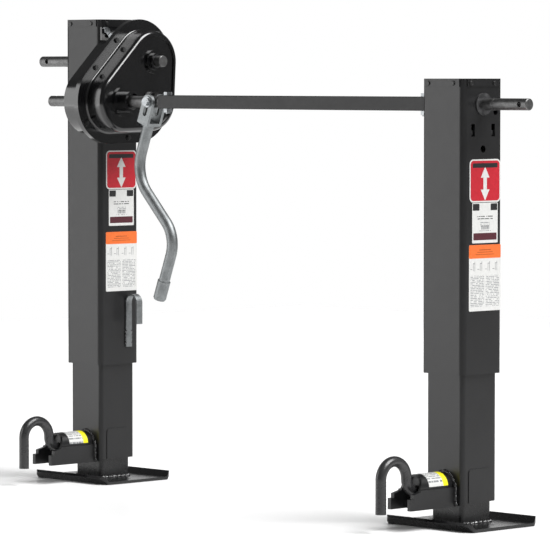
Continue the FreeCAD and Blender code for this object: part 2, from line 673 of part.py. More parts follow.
def shaft(x0, x1, y, z, holes, back_end=0.0, front_end=0.0):
    """A round shaft with chamfered ends, cross holes and slightly slimmer free ends."""
    lengths = [rod_x(x0 + back_end, x1 - front_end, y, z, SHAFT_R)]
    if back_end:
        lengths.append(rod_x(x0, x0 + back_end, y, z, END_R))
    if front_end:
        lengths.append(rod_x(x1 - front_end, x1, y, z, END_R))
    bar = fused(lengths)
    rims = [e for e in bar.Edges if min(abs(e.CenterOfMass.x - x0), abs(e.CenterOfMass.x - x1)) < 0.01]
    bar = bar.makeChamfer(END_CHAMFER, rims)
    return bar.cut(Part.makeCompound([cross_hole(x, y, z, upright) for x, upright in holes]))


def cross_tube():
    """The square tube that joins the two shafts, bolted at both ends."""
    x0, x1 = TUBE_START, SECOND_BACK + TUBE_OVERLAP
    half = TUBE_W / 2
    bar = box(x0, x1, DRIVE_Y - half, DRIVE_Y + half, DRIVE_Z - half, DRIVE_Z + half)
    long_edges = [e for e in bar.Edges if abs(e.tangentAt(e.FirstParameter).x) > 0.99]
    bar = bar.makeFillet(TUBE_R, long_edges)
    bar = bar.cut(rod_x(x0 - 1, x1 + 1, DRIVE_Y, DRIVE_Z, TUBE_BORE_R))
    return bar.cut(Part.makeCompound([cross_hole(x, DRIVE_Y, DRIVE_Z, True) for x in tube_bolt_places()]))


def tube_bolt_places():
    """X of the two bolts that hold the cross tube."""
    return TUBE_START + TUBE_BOLT_IN, SECOND_BACK + TUBE_OVERLAP - TUBE_BOLT_IN


def cross_tube_bolts():
    """Hex bolts with nuts, upright through the tube's ends."""
    bolts = []
    half = TUBE_W / 2
    for x in tube_bolt_places():
        low, top = DRIVE_Z - half, DRIVE_Z + half
        shank = rod_z(low - 10, top, x, DRIVE_Y, BOLT_R)
        head = hexagon(vec(x, DRIVE_Y, top), Z_AXIS, X_AXIS, BOLT_FLATS, BOLT_HEAD_H)
        nut = hexagon(vec(x, DRIVE_Y, low), vec(0, 0, -1), X_AXIS, BOLT_FLATS, NUT_HEIGHT)
        bolts.append(shank.fuse(head).removeSplitter())
        bolts.append(nut.cut(rod_z(low - 12, low + 1, x, DRIVE_Y, BOLT_R)))
    return group(bolts)


# ---------------------------------------------------------------- gearbox


def flange_screw_places():
    """YZ places of the flange screws round the outline."""
    drive, idler, main = CENTRES
    normal_up = math.atan2(main[1] - drive[1], main[0] - drive[0]) + math.pi / 2
    normal_low = math.atan2(idler[1] - drive[1], idler[0] - drive[0]) - math.pi / 2
    normal_side = math.atan2(main[1] - idler[1], main[0] - idler[0]) - math.pi / 2
    rows = [(drive, main, 0.18, normal_up), (drive, main, 0.86, normal_up)]
    rows += [(drive, drive, 0.0, math.radians(215)), (drive, idler, 0.62, normal_low)]
    rows += [(idler, idler, 0.0, math.radians(-45)), (idler, main, 0.45, normal_side)]
    rows += [(main, main, 0.0, math.radians(45))]
    places = []
    for a, b, share, turn in rows:
        y = a[0] + (b[0] - a[0]) * share + FLANGE_SCREW_AT * math.cos(turn)
        z = a[1] + (b[1] - a[1]) * share + FLANGE_SCREW_AT * math.sin(turn)
        places.append((y, z))
    return places


def flange_screw_shanks():
    """The flange screws' round shanks."""
    x0, x1 = BOX_JOINT - FLANGE_T_REAR, BOX_JOINT + FLANGE_T_FRONT
    return [rod_x(x0, x1, y, z, FLANGE_SCREW_R) for y, z in flange_screw_places()]


def mount_bolt_places():
    """YZ places of the four bolts that hold the gearbox on the leg."""
    return [(y, z) for y in (-MOUNT_BOLT_Y, MOUNT_BOLT_Y) for z in MOUNT_BOLT_Z]


def gearbox_rear_housing():
    """The back half: mounting plate, three-lobed cup and flange."""
    inner = REAR_R - BOX_WALL
    plate = box(BOX_BACK, BOX_BACK + BOX_WALL, -PLATE_HALF_Y, PLATE_HALF_Y, PLATE_LOW, PLATE_HIGH)
    cup = hull_bar(CENTRES, REAR_R, BOX_BACK, BOX_JOINT)
    flange = hull_bar(CENTRES, FLANGE_R, BOX_JOINT - FLANGE_T_REAR, BOX_JOINT)
    boss = rod_x(BOX_BACK - REAR_BOSS_H, BOX_BACK + 1, DRIVE_Y, DRIVE_Z, REAR_BOSS_R)
    hollow = hull_bar(CENTRES, inner, BOX_BACK + BOX_WALL, BOX_JOINT + 1)
    shell = fused([plate, cup, flange, boss]).cut(hollow)
    cuts = [rod_x(BOX_BACK - 10, BOX_JOINT, 0, MAIN_Z, BUSH_R)]
    cuts.append(rod_x(BOX_BACK - 10, BOX_JOINT, DRIVE_Y, DRIVE_Z, BUSH_R))
    cuts.append(rod_x(BOX_BACK - 10, BOX_JOINT, IDLER_Y, IDLER_Z, IDLER_R))
    for y, z in mount_bolt_places():
        cuts.append(rod_x(BOX_BACK - 1, BOX_BACK + BOX_WALL + 1, y, z, MOUNT_BOLT_R))
    return shell.cut(Part.makeCompound(cuts)).cut(Part.makeCompound(flange_screw_shanks()))


def gearbox_front_cover():
    """The front half: flange, straight wall, rounded rim, recessed panel and three bosses."""
    wall = hull_bar(CENTRES, FRONT_R, BOX_JOINT, BOX_FRONT)
    rim = [e for e in wall.Edges if abs(e.CenterOfMass.x - BOX_FRONT) < 0.01]
    wall = wall.makeFillet(FRONT_ROUND, rim)
    flange = hull_bar(CENTRES, FLANGE_R, BOX_JOINT, BOX_JOINT + FLANGE_T_FRONT)
    shell = wall.fuse(flange).removeSplitter()
    step_x = BOX_JOINT + FLANGE_T_FRONT
    flat = [e for e in shell.Edges if abs(e.BoundBox.XMin - step_x) < 0.01 and e.BoundBox.XLength < 0.01]
    shell = shell.makeFillet(FOOT_ROUND, [e for e in flat if on_hull(e, FRONT_R)])
    shell = shell.cut(hull_bar(CENTRES, PANEL_R, BOX_FRONT - PANEL_DEPTH, BOX_FRONT + 1))
    ceiling = BOX_FRONT - BOX_WALL - PANEL_DEPTH
    shell = shell.cut(hull_bar(CENTRES, FRONT_R - BOX_WALL, BOX_JOINT - 1, ceiling))
    face = BOX_FRONT - PANEL_DEPTH - 1
    bosses = [rod_x(face, BOX_FRONT + out, 0, MAIN_Z, radius) for radius, out in MAIN_BOSSES]
    bosses += [rod_x(face, BOX_FRONT + out, DRIVE_Y, DRIVE_Z, radius) for radius, out in DRIVE_BOSSES]
    bosses.append(rod_x(face, BOX_FRONT + IDLER_BOSS_H, IDLER_Y, IDLER_Z, IDLER_BOSS_R))
    shell = shell.multiFuse(bosses).removeSplitter()
    cuts = [rod_x(BOX_JOINT, BOX_FRONT + 30, 0, MAIN_Z, MAIN_FRONT_BUSH_R)]
    cuts.append(rod_x(BOX_JOINT, BOX_FRONT + 30, DRIVE_Y, DRIVE_Z, BUSH_R))
    cuts.append(rod_x(BOX_JOINT, BOX_FRONT + 30, IDLER_Y, IDLER_Z, IDLER_R))
    cuts.append(rod_x(BOX_FRONT - 8, BOX_FRONT + 5, *FITTING_AT, FITTING_R))
    return shell.cut(Part.makeCompound(cuts)).cut(Part.makeCompound(flange_screw_shanks()))


def on_hull(edge, radius):
    """True when an edge lies a radius away from the outline of the three centres."""
    point = edge.valueAt((edge.FirstParameter + edge.LastParameter) / 2)
    best = min(segment_distance(point, CENTRES[i], CENTRES[(i + 1) % 3]) for i in range(3))
    return abs(best - radius) < 0.05


def segment_distance(point, a, b):
    """Distance in YZ from a point to a segment."""
    dy, dz = b[0] - a[0], b[1] - a[1]
    share = ((point.y - a[0]) * dy + (point.z - a[1]) * dz) / (dy * dy + dz * dz)
    share = max(0.0, min(1.0, share))
    return math.hypot(point.y - a[0] - share * dy, point.z - a[1] - share * dz)


def flange_screws():
    """Hex screws round the flange."""
    x = BOX_JOINT + FLANGE_T_FRONT
    screws = []
    for (y, z), shank in zip(flange_screw_places(), flange_screw_shanks()):
        head = hexagon(vec(x, y, z), X_AXIS, Y_AXIS, FLANGE_HEAD_FLATS, FLANGE_HEAD_H)
        collar = rod_x(x, x + FLANGE_WASHER_H, y, z, FLANGE_WASHER_R)
        screws.append(fused([head, collar, shank]))
    return group(screws)


def mount_bolts():
    """Hex screws, tapped into the primary tube's wall, that hold the gearbox."""
    pieces = []
    x0, x1 = OUTER_HALF - OUTER_WALL, BOX_BACK + BOX_WALL
    for y, z in mount_bolt_places():
        shank = rod_x(x0, x1, y, z, MOUNT_BOLT_R)
        head = hexagon(vec(x1, y, z), X_AXIS, Z_AXIS, MOUNT_HEAD_FLATS, MOUNT_HEAD_H)
        pieces.append(shank.fuse(head).removeSplitter())
    return group(pieces)


def gearbox_bushings():
    """Three plain bushes: drive shaft rear and front, main shaft front."""
    inner = BOX_FRONT - PANEL_DEPTH - BOX_WALL - BUSH_STAND
    rows = [(BOX_BACK - REAR_BOSS_H, BOX_BACK + BOX_WALL + BUSH_STAND, DRIVE_Y, DRIVE_Z, BUSH_R)]
    rows.append((inner, BOX_FRONT + 14, DRIVE_Y, DRIVE_Z, BUSH_R))
    rows.append((inner, BOX_FRONT + 7, 0, MAIN_Z, MAIN_FRONT_BUSH_R))
    bushes = []
    for x0, x1, y, z, radius in rows:
        bushes.append(rod_x(x0, x1, y, z, radius).cut(rod_x(x0 - 1, x1 + 1, y, z, SHAFT_R + RUN_GAP)))
    return group(bushes)


def grease_fitting():
    """A small grease fitting screwed into the front panel."""
    y, z = FITTING_AT
    face = BOX_FRONT - PANEL_DEPTH
    base = rod_x(face - 4, face, y, z, FITTING_R)
    hexa = hexagon(vec(face, y, z), X_AXIS, Y_AXIS, 9.0, 4.0)
    neck = rod_x(face + 3, face + 9, y, z, 2.4)
    ball = Part.makeSphere(3.3, vec(face + 10, y, z))
    return fused([base, hexa, neck, ball])


def idler_shaft():
    """The fixed shaft that the idler gear runs on, with a threaded end for its nut."""
    return rod_x(BOX_BACK, BOX_FRONT + IDLER_PAST, IDLER_Y, IDLER_Z, IDLER_R)


def idler_nut():
    """The hex nut and washer on the idler shaft's end."""
    x = BOX_FRONT + IDLER_BOSS_H
    face = x + IDLER_WASHER_H
    nut = hexagon(vec(face, IDLER_Y, IDLER_Z), X_AXIS, Y_AXIS, IDLER_NUT_FLATS, IDLER_NUT_H)
    washer = rod_x(x, face, IDLER_Y, IDLER_Z, IDLER_WASHER_R)
    return fused([nut, washer]).cut(rod_x(x - 1, x + 20, IDLER_Y, IDLER_Z, IDLER_R))


# ---------------------------------------------------------------- crank


class CrankPath:
    """The crank tube's centre line in the plane y = DRIVE_Y, hanging from its bolt."""

    def __init__(self):
        lean = math.radians(CRANK_LEAN)
        kick = math.radians(CRANK_BEND - CRANK_LEAN)
        self.along = vec(-math.sin(lean), 0, -math.cos(lean))
        self.kicked = vec(math.sin(kick), 0, -math.cos(kick))
        self.pivot = vec(CRANK_X, DRIVE_Y, DRIVE_Z)
        self.first = self.pivot + self.along * CRANK_RUNS[0]
        self.second = self.first + self.kicked * CRANK_RUNS[1]
        self.end = self.second + self.along * CRANK_RUNS[2]

    def point(self, distance, side=0.0):
        """A point on the fork's line, and how far off it in X and Z."""
        across = vec(-self.along.z, 0, self.along.x)
        return self.pivot + self.along * distance + across * side

    def wire(self, start):
        """The tube's centre line from a distance below the bolt to the handle's end."""
        edges = []
        here = self.point(start)
        turns = ((self.first, self.along, self.kicked), (self.second, self.kicked, self.along))
        for (corner, before, after), radius in zip(turns, CRANK_RADII):
            cut = radius * math.tan(math.radians(CRANK_BEND) / 2)
            enter, leave = corner - before * cut, corner + after * cut
            inward = (after - before).normalize()
            depth = radius / math.cos(math.radians(CRANK_BEND) / 2) - radius
            edges.append(Part.LineSegment(here, enter).toShape())
            edges.append(Part.Arc(enter, corner + inward * depth, leave).toShape())
            here = leave
        edges.append(Part.LineSegment(here, self.end).toShape())
        return Part.Wire(edges)


CRANK = CrankPath()


def crank_fork():
    """The fork: two slotted cheeks and the bridge that the tube is welded to."""
    gap, thick, half_w = FORK_GAP / 2, FORK_T, FORK_W / 2
    cheeks = []
    for side in (-1, 1):
        y0 = DRIVE_Y + (gap if side > 0 else -gap - thick)
        top = CRANK.point(-FORK_ABOVE + half_w)
        round_end = Part.makeCylinder(half_w, thick, vec(top.x, y0, top.z), Y_AXIS)
        corners = [CRANK.point(half_w - FORK_ABOVE, -half_w), CRANK.point(half_w - FORK_ABOVE, half_w)]
        corners += [CRANK.point(FORK_BELOW, half_w), CRANK.point(FORK_BELOW, -half_w)]
        plate = prism([vec(p.x, y0, p.z) for p in corners], vec(0, thick, 0))
        cheek = plate.fuse(round_end)
        low = SLOT_LENGTH - SLOT_W
        ends = [CRANK.point(0), CRANK.point(low)]
        rounds = [Part.makeCylinder(SLOT_W / 2, thick + 2, vec(p.x, y0 - 1, p.z), Y_AXIS) for p in ends]
        sides = [CRANK.point(0, -SLOT_W / 2), CRANK.point(0, SLOT_W / 2)]
        sides += [CRANK.point(low, SLOT_W / 2), CRANK.point(low, -SLOT_W / 2)]
        middle = prism([vec(p.x, y0 - 1, p.z) for p in sides], vec(0, thick + 2, 0))
        cheeks.append(cheek.cut(rounds[0].fuse([rounds[1], middle])))
    corners = [CRANK.point(FORK_BELOW - 6, -half_w), CRANK.point(FORK_BELOW - 6, half_w)]
    corners += [CRANK.point(FORK_BELOW, half_w), CRANK.point(FORK_BELOW, -half_w)]
    y0 = DRIVE_Y - gap - thick
    bridge = prism([vec(p.x, y0, p.z) for p in corners], vec(0, 2 * (gap + thick), 0))
    return fused(cheeks + [bridge])


def crank_tube():
    """The bent handle bar."""
    path = CRANK.wire(FORK_BELOW)
    bars = []
    for radius in (CRANK_TUBE_R, CRANK_BORE_R):
        section = Part.Wire([Part.Circle(CRANK.point(FORK_BELOW), CRANK.along, radius).toShape()])
        bars.append(path.makePipeShell([section], True, True))
    return bars[0].cut(bars[1])


def crank_sleeve():
    """The loose sleeve near the handle's end."""
    base = CRANK.end - CRANK.along * (SLEEVE_LENGTH + 3)
    outer = Part.makeCylinder(CRANK_TUBE_R + SLEEVE_T, SLEEVE_LENGTH, base, CRANK.along)
    bore_start = base - CRANK.along
    return outer.cut(Part.makeCylinder(CRANK_TUBE_R + RUN_GAP, SLEEVE_LENGTH + 2, bore_start, CRANK.along))


def crank_bolt():
    """The long hex bolt through the fork and the shaft, head on -Y."""
    out = CHEEK_OUT + SIDE_GAP + BOLT_WASHER_T
    shank = rod_y(DRIVE_Y - out, DRIVE_Y + out + CRANK_BOLT_PAST, CRANK_X, DRIVE_Z, BOLT_R)
    head = hexagon(vec(CRANK_X, DRIVE_Y - out, DRIVE_Z), vec(0, -1, 0), X_AXIS, BOLT_FLATS, BOLT_HEAD_H)
    return shank.fuse(head).removeSplitter()


def crank_washers():
    """A washer under the head and one under the nut."""
    rings = []
    for side in (-1, 1):
        y0 = DRIVE_Y + side * (CHEEK_OUT + SIDE_GAP)
        y1 = y0 + side * BOLT_WASHER_T
        ring = rod_y(min(y0, y1), max(y0, y1), CRANK_X, DRIVE_Z, BOLT_WASHER_R)
        rings.append(ring.cut(rod_y(min(y0, y1) - 1, max(y0, y1) + 1, CRANK_X, DRIVE_Z, BOLT_R)))
    return group(rings)


def crank_locknut():
    """The locknut with its round collar."""
    y0 = DRIVE_Y + CHEEK_OUT + SIDE_GAP + BOLT_WASHER_T
    nut = hexagon(vec(CRANK_X, y0, DRIVE_Z), Y_AXIS, X_AXIS, BOLT_FLATS, LOCKNUT_H)
    collar = rod_y(y0 + LOCKNUT_H - 0.5, y0 + LOCKNUT_H + LOCK_COLLAR_H, CRANK_X, DRIVE_Z, LOCK_COLLAR_R)
    return fused([nut, collar]).cut(rod_y(y0 - 1, y0 + 12, CRANK_X, DRIVE_Z, BOLT_R))


# ---------------------------------------------------------------- labels and clip


def face_label(leg, row, rise):
    """A thin label on a leg's +X face, a little towards +Y."""
    middle, width, height = row
    low = middle + rise - height / 2
    x, y = leg.x + OUTER_HALF, leg.y + LABEL_SHIFT
    return box(x, x + LABEL_T, y - width / 2, y + width / 2, low, low + height)


def label_pair(row, second_rise=0.0):
    """The same label on both legs."""
    return group([face_label(PRIMARY, row, 0.0), face_label(SECONDARY, row, second_rise)])


def handle_clip():
    """A hairpin of flat strap, welded on the primary leg's +X face; the crank's bar pushes into it."""
    face, inner = OUTER_HALF, CLIP_GAP_R
    outer = inner + CLIP_T
    y0 = CLIP_Y
    x_mid = face + CLIP_T + inner
    z_bend = CLIP_Z + CLIP_LONG / 2
    hole = rod_y(y0 - 1, y0 + CLIP_W + 1, x_mid, z_bend, inner)
    ring = rod_y(y0, y0 + CLIP_W, x_mid, z_bend, outer).cut(hole)
    bend = ring.common(box(face - 1, face + 50, y0, y0 + CLIP_W, z_bend, z_bend + 40))
    back = box(face, face + CLIP_T, y0, y0 + CLIP_W, z_bend - CLIP_LONG, z_bend)
    front_x = x_mid + inner
    front = box(front_x, front_x + CLIP_T, y0, y0 + CLIP_W, z_bend - CLIP_SHORT, z_bend)
    return fused([bend, back, front])


# ---------------------------------------------------------------- all nodes


def leg_nodes(leg):
    """Every node of one leg."""
    makers = {
        "outer_tube": outer_tube,
        "top_cap": top_cap,
        "bearing_plate": bearing_plate,
        "thrust_bearing": thrust_bearing,
        "lead_screw": lead_screw,
        "bevel_gear": bevel_wheel,
        "bevel_pinion": bevel_pinion,
        "ram_tube": ram_tube,
        "ram_nut": ram_nut,
        "drop_leg": drop_leg,
        "foot_plate": foot_plate,
        "pin_bracket": pin_bracket,
        "pin_label": pin_label,
        "pull_pin": pull_pin,
        "pin_spring": pin_spring,
    }
    nodes = {leg.node(name): make(leg) for name, make in makers.items()}
    nodes[leg.node("pin_washer")] = ring_y(leg, WASHER_Y, WASHER_T, WASHER_R, PIN_R)
    return nodes


def drive_nodes():
    """Shafts, cross tube and the gear train."""
    phase = math.pi / 2
    idler_phase = meshed_phase(CENTRES[0], phase, CENTRES[1], TEETH_SPUR)
    output_phase = meshed_phase(CENTRES[1], idler_phase, CENTRES[2], TEETH_SPUR)
    tube_bolts = tube_bolt_places()
    drive_holes = [(DRIVE_BACK_HOLE, True), (CRANK_X, False), (tube_bolts[0], True)]
    main_holes = [(MAIN_BACK_HOLE, False), (MAIN_FRONT_HOLE, True)]
    second_holes = [(tube_bolts[1], True), (SECOND_FRONT - 16, False)]
    return {
        "main_shaft": shaft(MAIN_BACK, MAIN_FRONT, 0, MAIN_Z, main_holes, back_end=LONG_END),
        "drive_shaft": shaft(DRIVE_BACK, DRIVE_FRONT, DRIVE_Y, DRIVE_Z, drive_holes, back_end=SHORT_END),
        "secondary_head_shaft": shaft(
            SECOND_BACK, SECOND_FRONT, DRIVE_Y, DRIVE_Z, second_holes, front_end=LONG_END
        ),
        "cross_tube": cross_tube(),
        "cross_tube_bolts": cross_tube_bolts(),
        "drive_gear": spur_gear(CENTRES[0], phase, SHAFT_R),
        "idler_gear": spur_gear(CENTRES[1], idler_phase, IDLER_R + RUN_GAP),
        "output_gear": spur_gear(CENTRES[2], output_phase, SHAFT_R),
    }


def other_nodes():
    """Gearbox, crank, labels, screws and clip."""
    return {
        "cap_screws": group([screw for leg in LEGS for screw in cap_screws(leg)]),
        "head_bushings": group([bush for leg in LEGS for bush in head_bushings(leg)]),
        "gearbox_rear_housing": gearbox_rear_housing(),
        "gearbox_front_cover": gearbox_front_cover(),
        "gearbox_flange_screws": flange_screws(),
        "gearbox_mount_bolts": mount_bolts(),
        "gearbox_bushings": gearbox_bushings(),
        "grease_fitting": grease_fitting(),
        "idler_shaft": idler_shaft(),
        "idler_nut": idler_nut(),
        "crank_fork": crank_fork(),
        "crank_tube": crank_tube(),
        "crank_grip_sleeve": crank_sleeve(),
        "crank_bolt": crank_bolt(),
        "crank_washers": crank_washers(),
        "crank_locknut": crank_locknut(),
        "emblem_labels": label_pair(EMBLEM),
        "rating_labels": label_pair(RATING),
        "notice_labels": label_pair(NOTICE, SECOND_NOTICE_RISE),
        "handle_clip": handle_clip(),
    }


def main():
    """Build every node and write it."""
    os.makedirs("parts", exist_ok=True)
    nodes = {}
    for leg in LEGS:
        nodes.update(leg_nodes(leg))
    nodes.update(drive_nodes())
    nodes.update(other_nodes())
    for name, shape in nodes.items():
        if not shape.isValid() or not shape.Solids:
            print("bad shape", name, shape.ShapeType, len(shape.Solids))
        shape.exportStep("parts/" + name + ".step")
    print(len(nodes), "nodes")


main()
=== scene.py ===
"""Looks for a tandem drop-leg trailer jack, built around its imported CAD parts.

Every length is in metres in the row frame: +X runs along the drive shafts, the pull pins point
towards -Y, and +Z is up.
"""

import json
import logging
import math
from dataclasses import dataclass, field
from enum import Enum

import bpy
from mathutils import Matrix, Vector

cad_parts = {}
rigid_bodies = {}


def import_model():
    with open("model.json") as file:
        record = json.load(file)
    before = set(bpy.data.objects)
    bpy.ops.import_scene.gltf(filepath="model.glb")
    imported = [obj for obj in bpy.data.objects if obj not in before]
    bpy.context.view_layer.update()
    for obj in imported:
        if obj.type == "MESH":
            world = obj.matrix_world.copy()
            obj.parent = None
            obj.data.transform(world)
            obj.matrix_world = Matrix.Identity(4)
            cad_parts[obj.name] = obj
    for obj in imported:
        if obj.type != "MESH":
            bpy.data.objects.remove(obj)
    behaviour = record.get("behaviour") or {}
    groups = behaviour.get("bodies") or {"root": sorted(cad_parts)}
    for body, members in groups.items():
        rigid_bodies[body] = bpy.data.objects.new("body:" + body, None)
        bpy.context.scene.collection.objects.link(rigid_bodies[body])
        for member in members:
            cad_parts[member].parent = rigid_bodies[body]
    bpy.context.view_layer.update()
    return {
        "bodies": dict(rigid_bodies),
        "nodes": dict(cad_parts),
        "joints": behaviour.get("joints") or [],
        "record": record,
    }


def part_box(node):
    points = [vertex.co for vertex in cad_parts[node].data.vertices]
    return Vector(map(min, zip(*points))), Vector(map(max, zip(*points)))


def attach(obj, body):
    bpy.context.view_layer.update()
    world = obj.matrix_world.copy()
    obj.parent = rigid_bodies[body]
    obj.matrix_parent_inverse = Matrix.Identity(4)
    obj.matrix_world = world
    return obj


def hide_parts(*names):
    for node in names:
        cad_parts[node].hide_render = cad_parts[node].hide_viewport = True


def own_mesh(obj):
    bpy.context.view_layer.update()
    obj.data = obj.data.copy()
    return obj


LOG = logging.getLogger("trailer_jack")
MM = 0.001
Rgba = tuple[float, float, float, float]


class Leg(Enum):
    """The two jack legs."""

    PRIMARY = "primary"
    SECONDARY = "secondary"

    def node(self, piece: str) -> str:
        """The CAD node name of one of this leg's pieces."""
        return f"{self.value}_{piece}"


class Slot(Enum):
    """The record's material slots."""

    FOOT = "foot_paint"
    TUBE = "tube_paint"
    ZINC = "crank_zinc"
    SPRING = "spring_steel"
    EMBLEM = "emblem_label"
    RATING = "rating_label"
    NOTICE = "notice_label"


def linear(hex_colour: str) -> Rgba:
    """Turns an sRGB colour into the linear one that shaders take.

    Args:
        hex_colour: Six hex digits, as in "#2b2b2c".

    Returns:
        Linear red, green and blue, with an alpha of 1.
    """
    digits = hex_colour.lstrip("#")
    channels = []
    for start in (0, 2, 4):
        value = int(digits[start : start + 2], 16) / 255
        channels.append(value / 12.92 if value <= 0.04045 else ((value + 0.055) / 1.055) ** 2.4)
    return channels[0], channels[1], channels[2], 1.0


def per_metre(size_mm: float) -> float:
    """The texture scale that makes a pattern's features this many millimetres."""
    return 1.0 / (size_mm * MM)


# ------------------------------------------------------------------ nodes and finishes


def add_node(
    tree: bpy.types.NodeTree,
    kind: str,
    settings: dict | None = None,
    links: dict | None = None,
) -> bpy.types.Node:
    """Adds a node with its settings and links.

    Args:
        tree: The node tree to add to.
        kind: The node's type, such as "ShaderNodeTexNoise".
        settings: Values by property name, or by input name or number.
        links: Output sockets by the input's name or number.

    Returns:
        The new node.
    """
    node = tree.nodes.new(kind)
    for name, value in (settings or {}).items():
        if isinstance(name, str) and name in node.bl_rna.properties:
            setattr(node, name, value)
        else:
            node.inputs[name].default_value = value
    for name, socket in (links or {}).items():
        tree.links.new(socket, node.inputs[name])
    return node


def set_ramp(ramp: bpy.types.Node, stops: list[tuple[float, Rgba]]) -> None:
    """Gives a colour ramp its stops.

    Args:
        ramp: The ColorRamp node.
        stops: Pairs of place, from 0 to 1, and linear colour.
    """
    elements = ramp.color_ramp.elements
    while len(elements) < len(stops):
        elements.new(1.0)
    for element, (place, colour) in zip(elements, stops):
        element.position = place
        element.color = colour


def start_material(
    name: str, shader: dict
) -> tuple[bpy.types.Material, bpy.types.Node, bpy.types.Node]:
    """Starts a material with a surface shader, its output and Object coordinates.

    Args:
        name: The finish's name.
        shader: Settings of the Principled shader's own sockets.

    Returns:
        The material, its Principled shader and its Texture Coordinate node.
    """
    material = bpy.data.materials.new(name)
    material.use_nodes = True
    tree = material.node_tree
    tree.nodes.clear()
    surface = add_node(tree, "ShaderNodeBsdfPrincipled", shader)
    add_node(tree, "ShaderNodeOutputMaterial", links={"Surface": surface.outputs["BSDF"]})
    coordinates = add_node(tree, "ShaderNodeTexCoord")
    return material, surface, coordinates


@dataclass(frozen=True)
class Enamel:
    """Sprayed enamel on steel: dark and even, with a fine orange peel under soft reflections."""

    name: str
    colour: str
    worn: str
    roughness: float
    roughness_spread: float = 0.10
    peel_mm: float = 1.6
    peel_height_mm: float = 0.012
    cloud_mm: float = 70.0
    coat: float = 0.0
    coat_roughness: float = 0.12
    grain_mm: float = 9.0

    def build(self) -> bpy.types.Material:
        """Makes the material.

        Returns:
            The material.
        """
        material, surface, place = start_material(
            self.name, {"Coat Weight": self.coat, "Coat Roughness": self.coat_roughness}
        )
        tree = material.node_tree
        where = place.outputs["Object"]
        cloud = add_node(
            tree,
            "ShaderNodeTexNoise",
            {"Scale": per_metre(self.cloud_mm), "Detail": 4.0},
            {"Vector": where},
        )
        tone = add_node(tree, "ShaderNodeValToRGB", links={"Fac": cloud.outputs["Fac"]})
        set_ramp(tone, [(0.35, linear(self.colour)), (0.75, linear(self.worn))])
        tree.links.new(tone.outputs["Color"], surface.inputs["Base Color"])
        grain = add_node(
            tree,
            "ShaderNodeTexNoise",
            {"Scale": per_metre(self.grain_mm), "Detail": 6.0},
            {"Vector": where},
        )
        low = self.roughness - self.roughness_spread / 2
        high = self.roughness + self.roughness_spread / 2
        gloss = add_node(
            tree,
            "ShaderNodeMapRange",
            {"To Min": low, "To Max": high},
            {0: grain.outputs["Fac"]},
        )
        tree.links.new(gloss.outputs[0], surface.inputs["Roughness"])
        peel = add_node(
            tree,
            "ShaderNodeTexNoise",
            {"Scale": per_metre(self.peel_mm), "Detail": 2.0},
            {"Vector": where},
        )
        bump = add_node(
            tree,
            "ShaderNodeBump",
            {"Strength": 0.6, "Distance": self.peel_height_mm * MM},
            {"Height": peel.outputs["Fac"]},
        )
        tree.links.new(bump.outputs["Normal"], surface.inputs["Normal"])
        return material


@dataclass(frozen=True)
class Steel:
    """Bare steel: a metal mottled by handling and oil, with fine lines along its making."""

    name: str
    dark: str
    light: str
    roughness: float
    mottle_mm: float = 7.0
    grain_mm: tuple[float, float, float] = (40.0, 0.5, 0.5)
    grain_height_mm: float = 0.02
    smoother: float = 0.08
    rougher: float = 0.10

    def build(self) -> bpy.types.Material:
        """Makes the material.

        Returns:
            The material.
        """
        material, surface, place = start_material(self.name, {"Metallic": 1.0})
        tree = material.node_tree
        where = place.outputs["Object"]
        mottle = add_node(
            tree,
            "ShaderNodeTexNoise",
            {"Scale": per_metre(self.mottle_mm), "Detail": 5.0},
            {"Vector": where},
        )
        tone = add_node(tree, "ShaderNodeValToRGB", links={"Fac": mottle.outputs["Fac"]})
        set_ramp(tone, [(0.32, linear(self.dark)), (0.68, linear(self.light))])
        tree.links.new(tone.outputs["Color"], surface.inputs["Base Color"])
        scale = Vector([per_metre(size) for size in self.grain_mm])
        lines = add_node(tree, "ShaderNodeMapping", {"Scale": scale}, {"Vector": where})
        grain = add_node(
            tree,
            "ShaderNodeTexNoise",
            {"Scale": 1.0, "Detail": 3.0},
            {"Vector": lines.outputs["Vector"]},
        )
        low, high = self.roughness - self.smoother, self.roughness + self.rougher
        gloss = add_node(
            tree,
            "ShaderNodeMapRange",
            {"To Min": low, "To Max": high},
            {0: grain.outputs["Fac"]},
        )
        tree.links.new(gloss.outputs[0], surface.inputs["Roughness"])
        bump = add_node(
            tree,
            "ShaderNodeBump",
            {"Strength": 0.5, "Distance": self.grain_height_mm * MM},
            {"Height": grain.outputs["Fac"]},
        )
        tree.links.new(bump.outputs["Normal"], surface.inputs["Normal"])
        return material


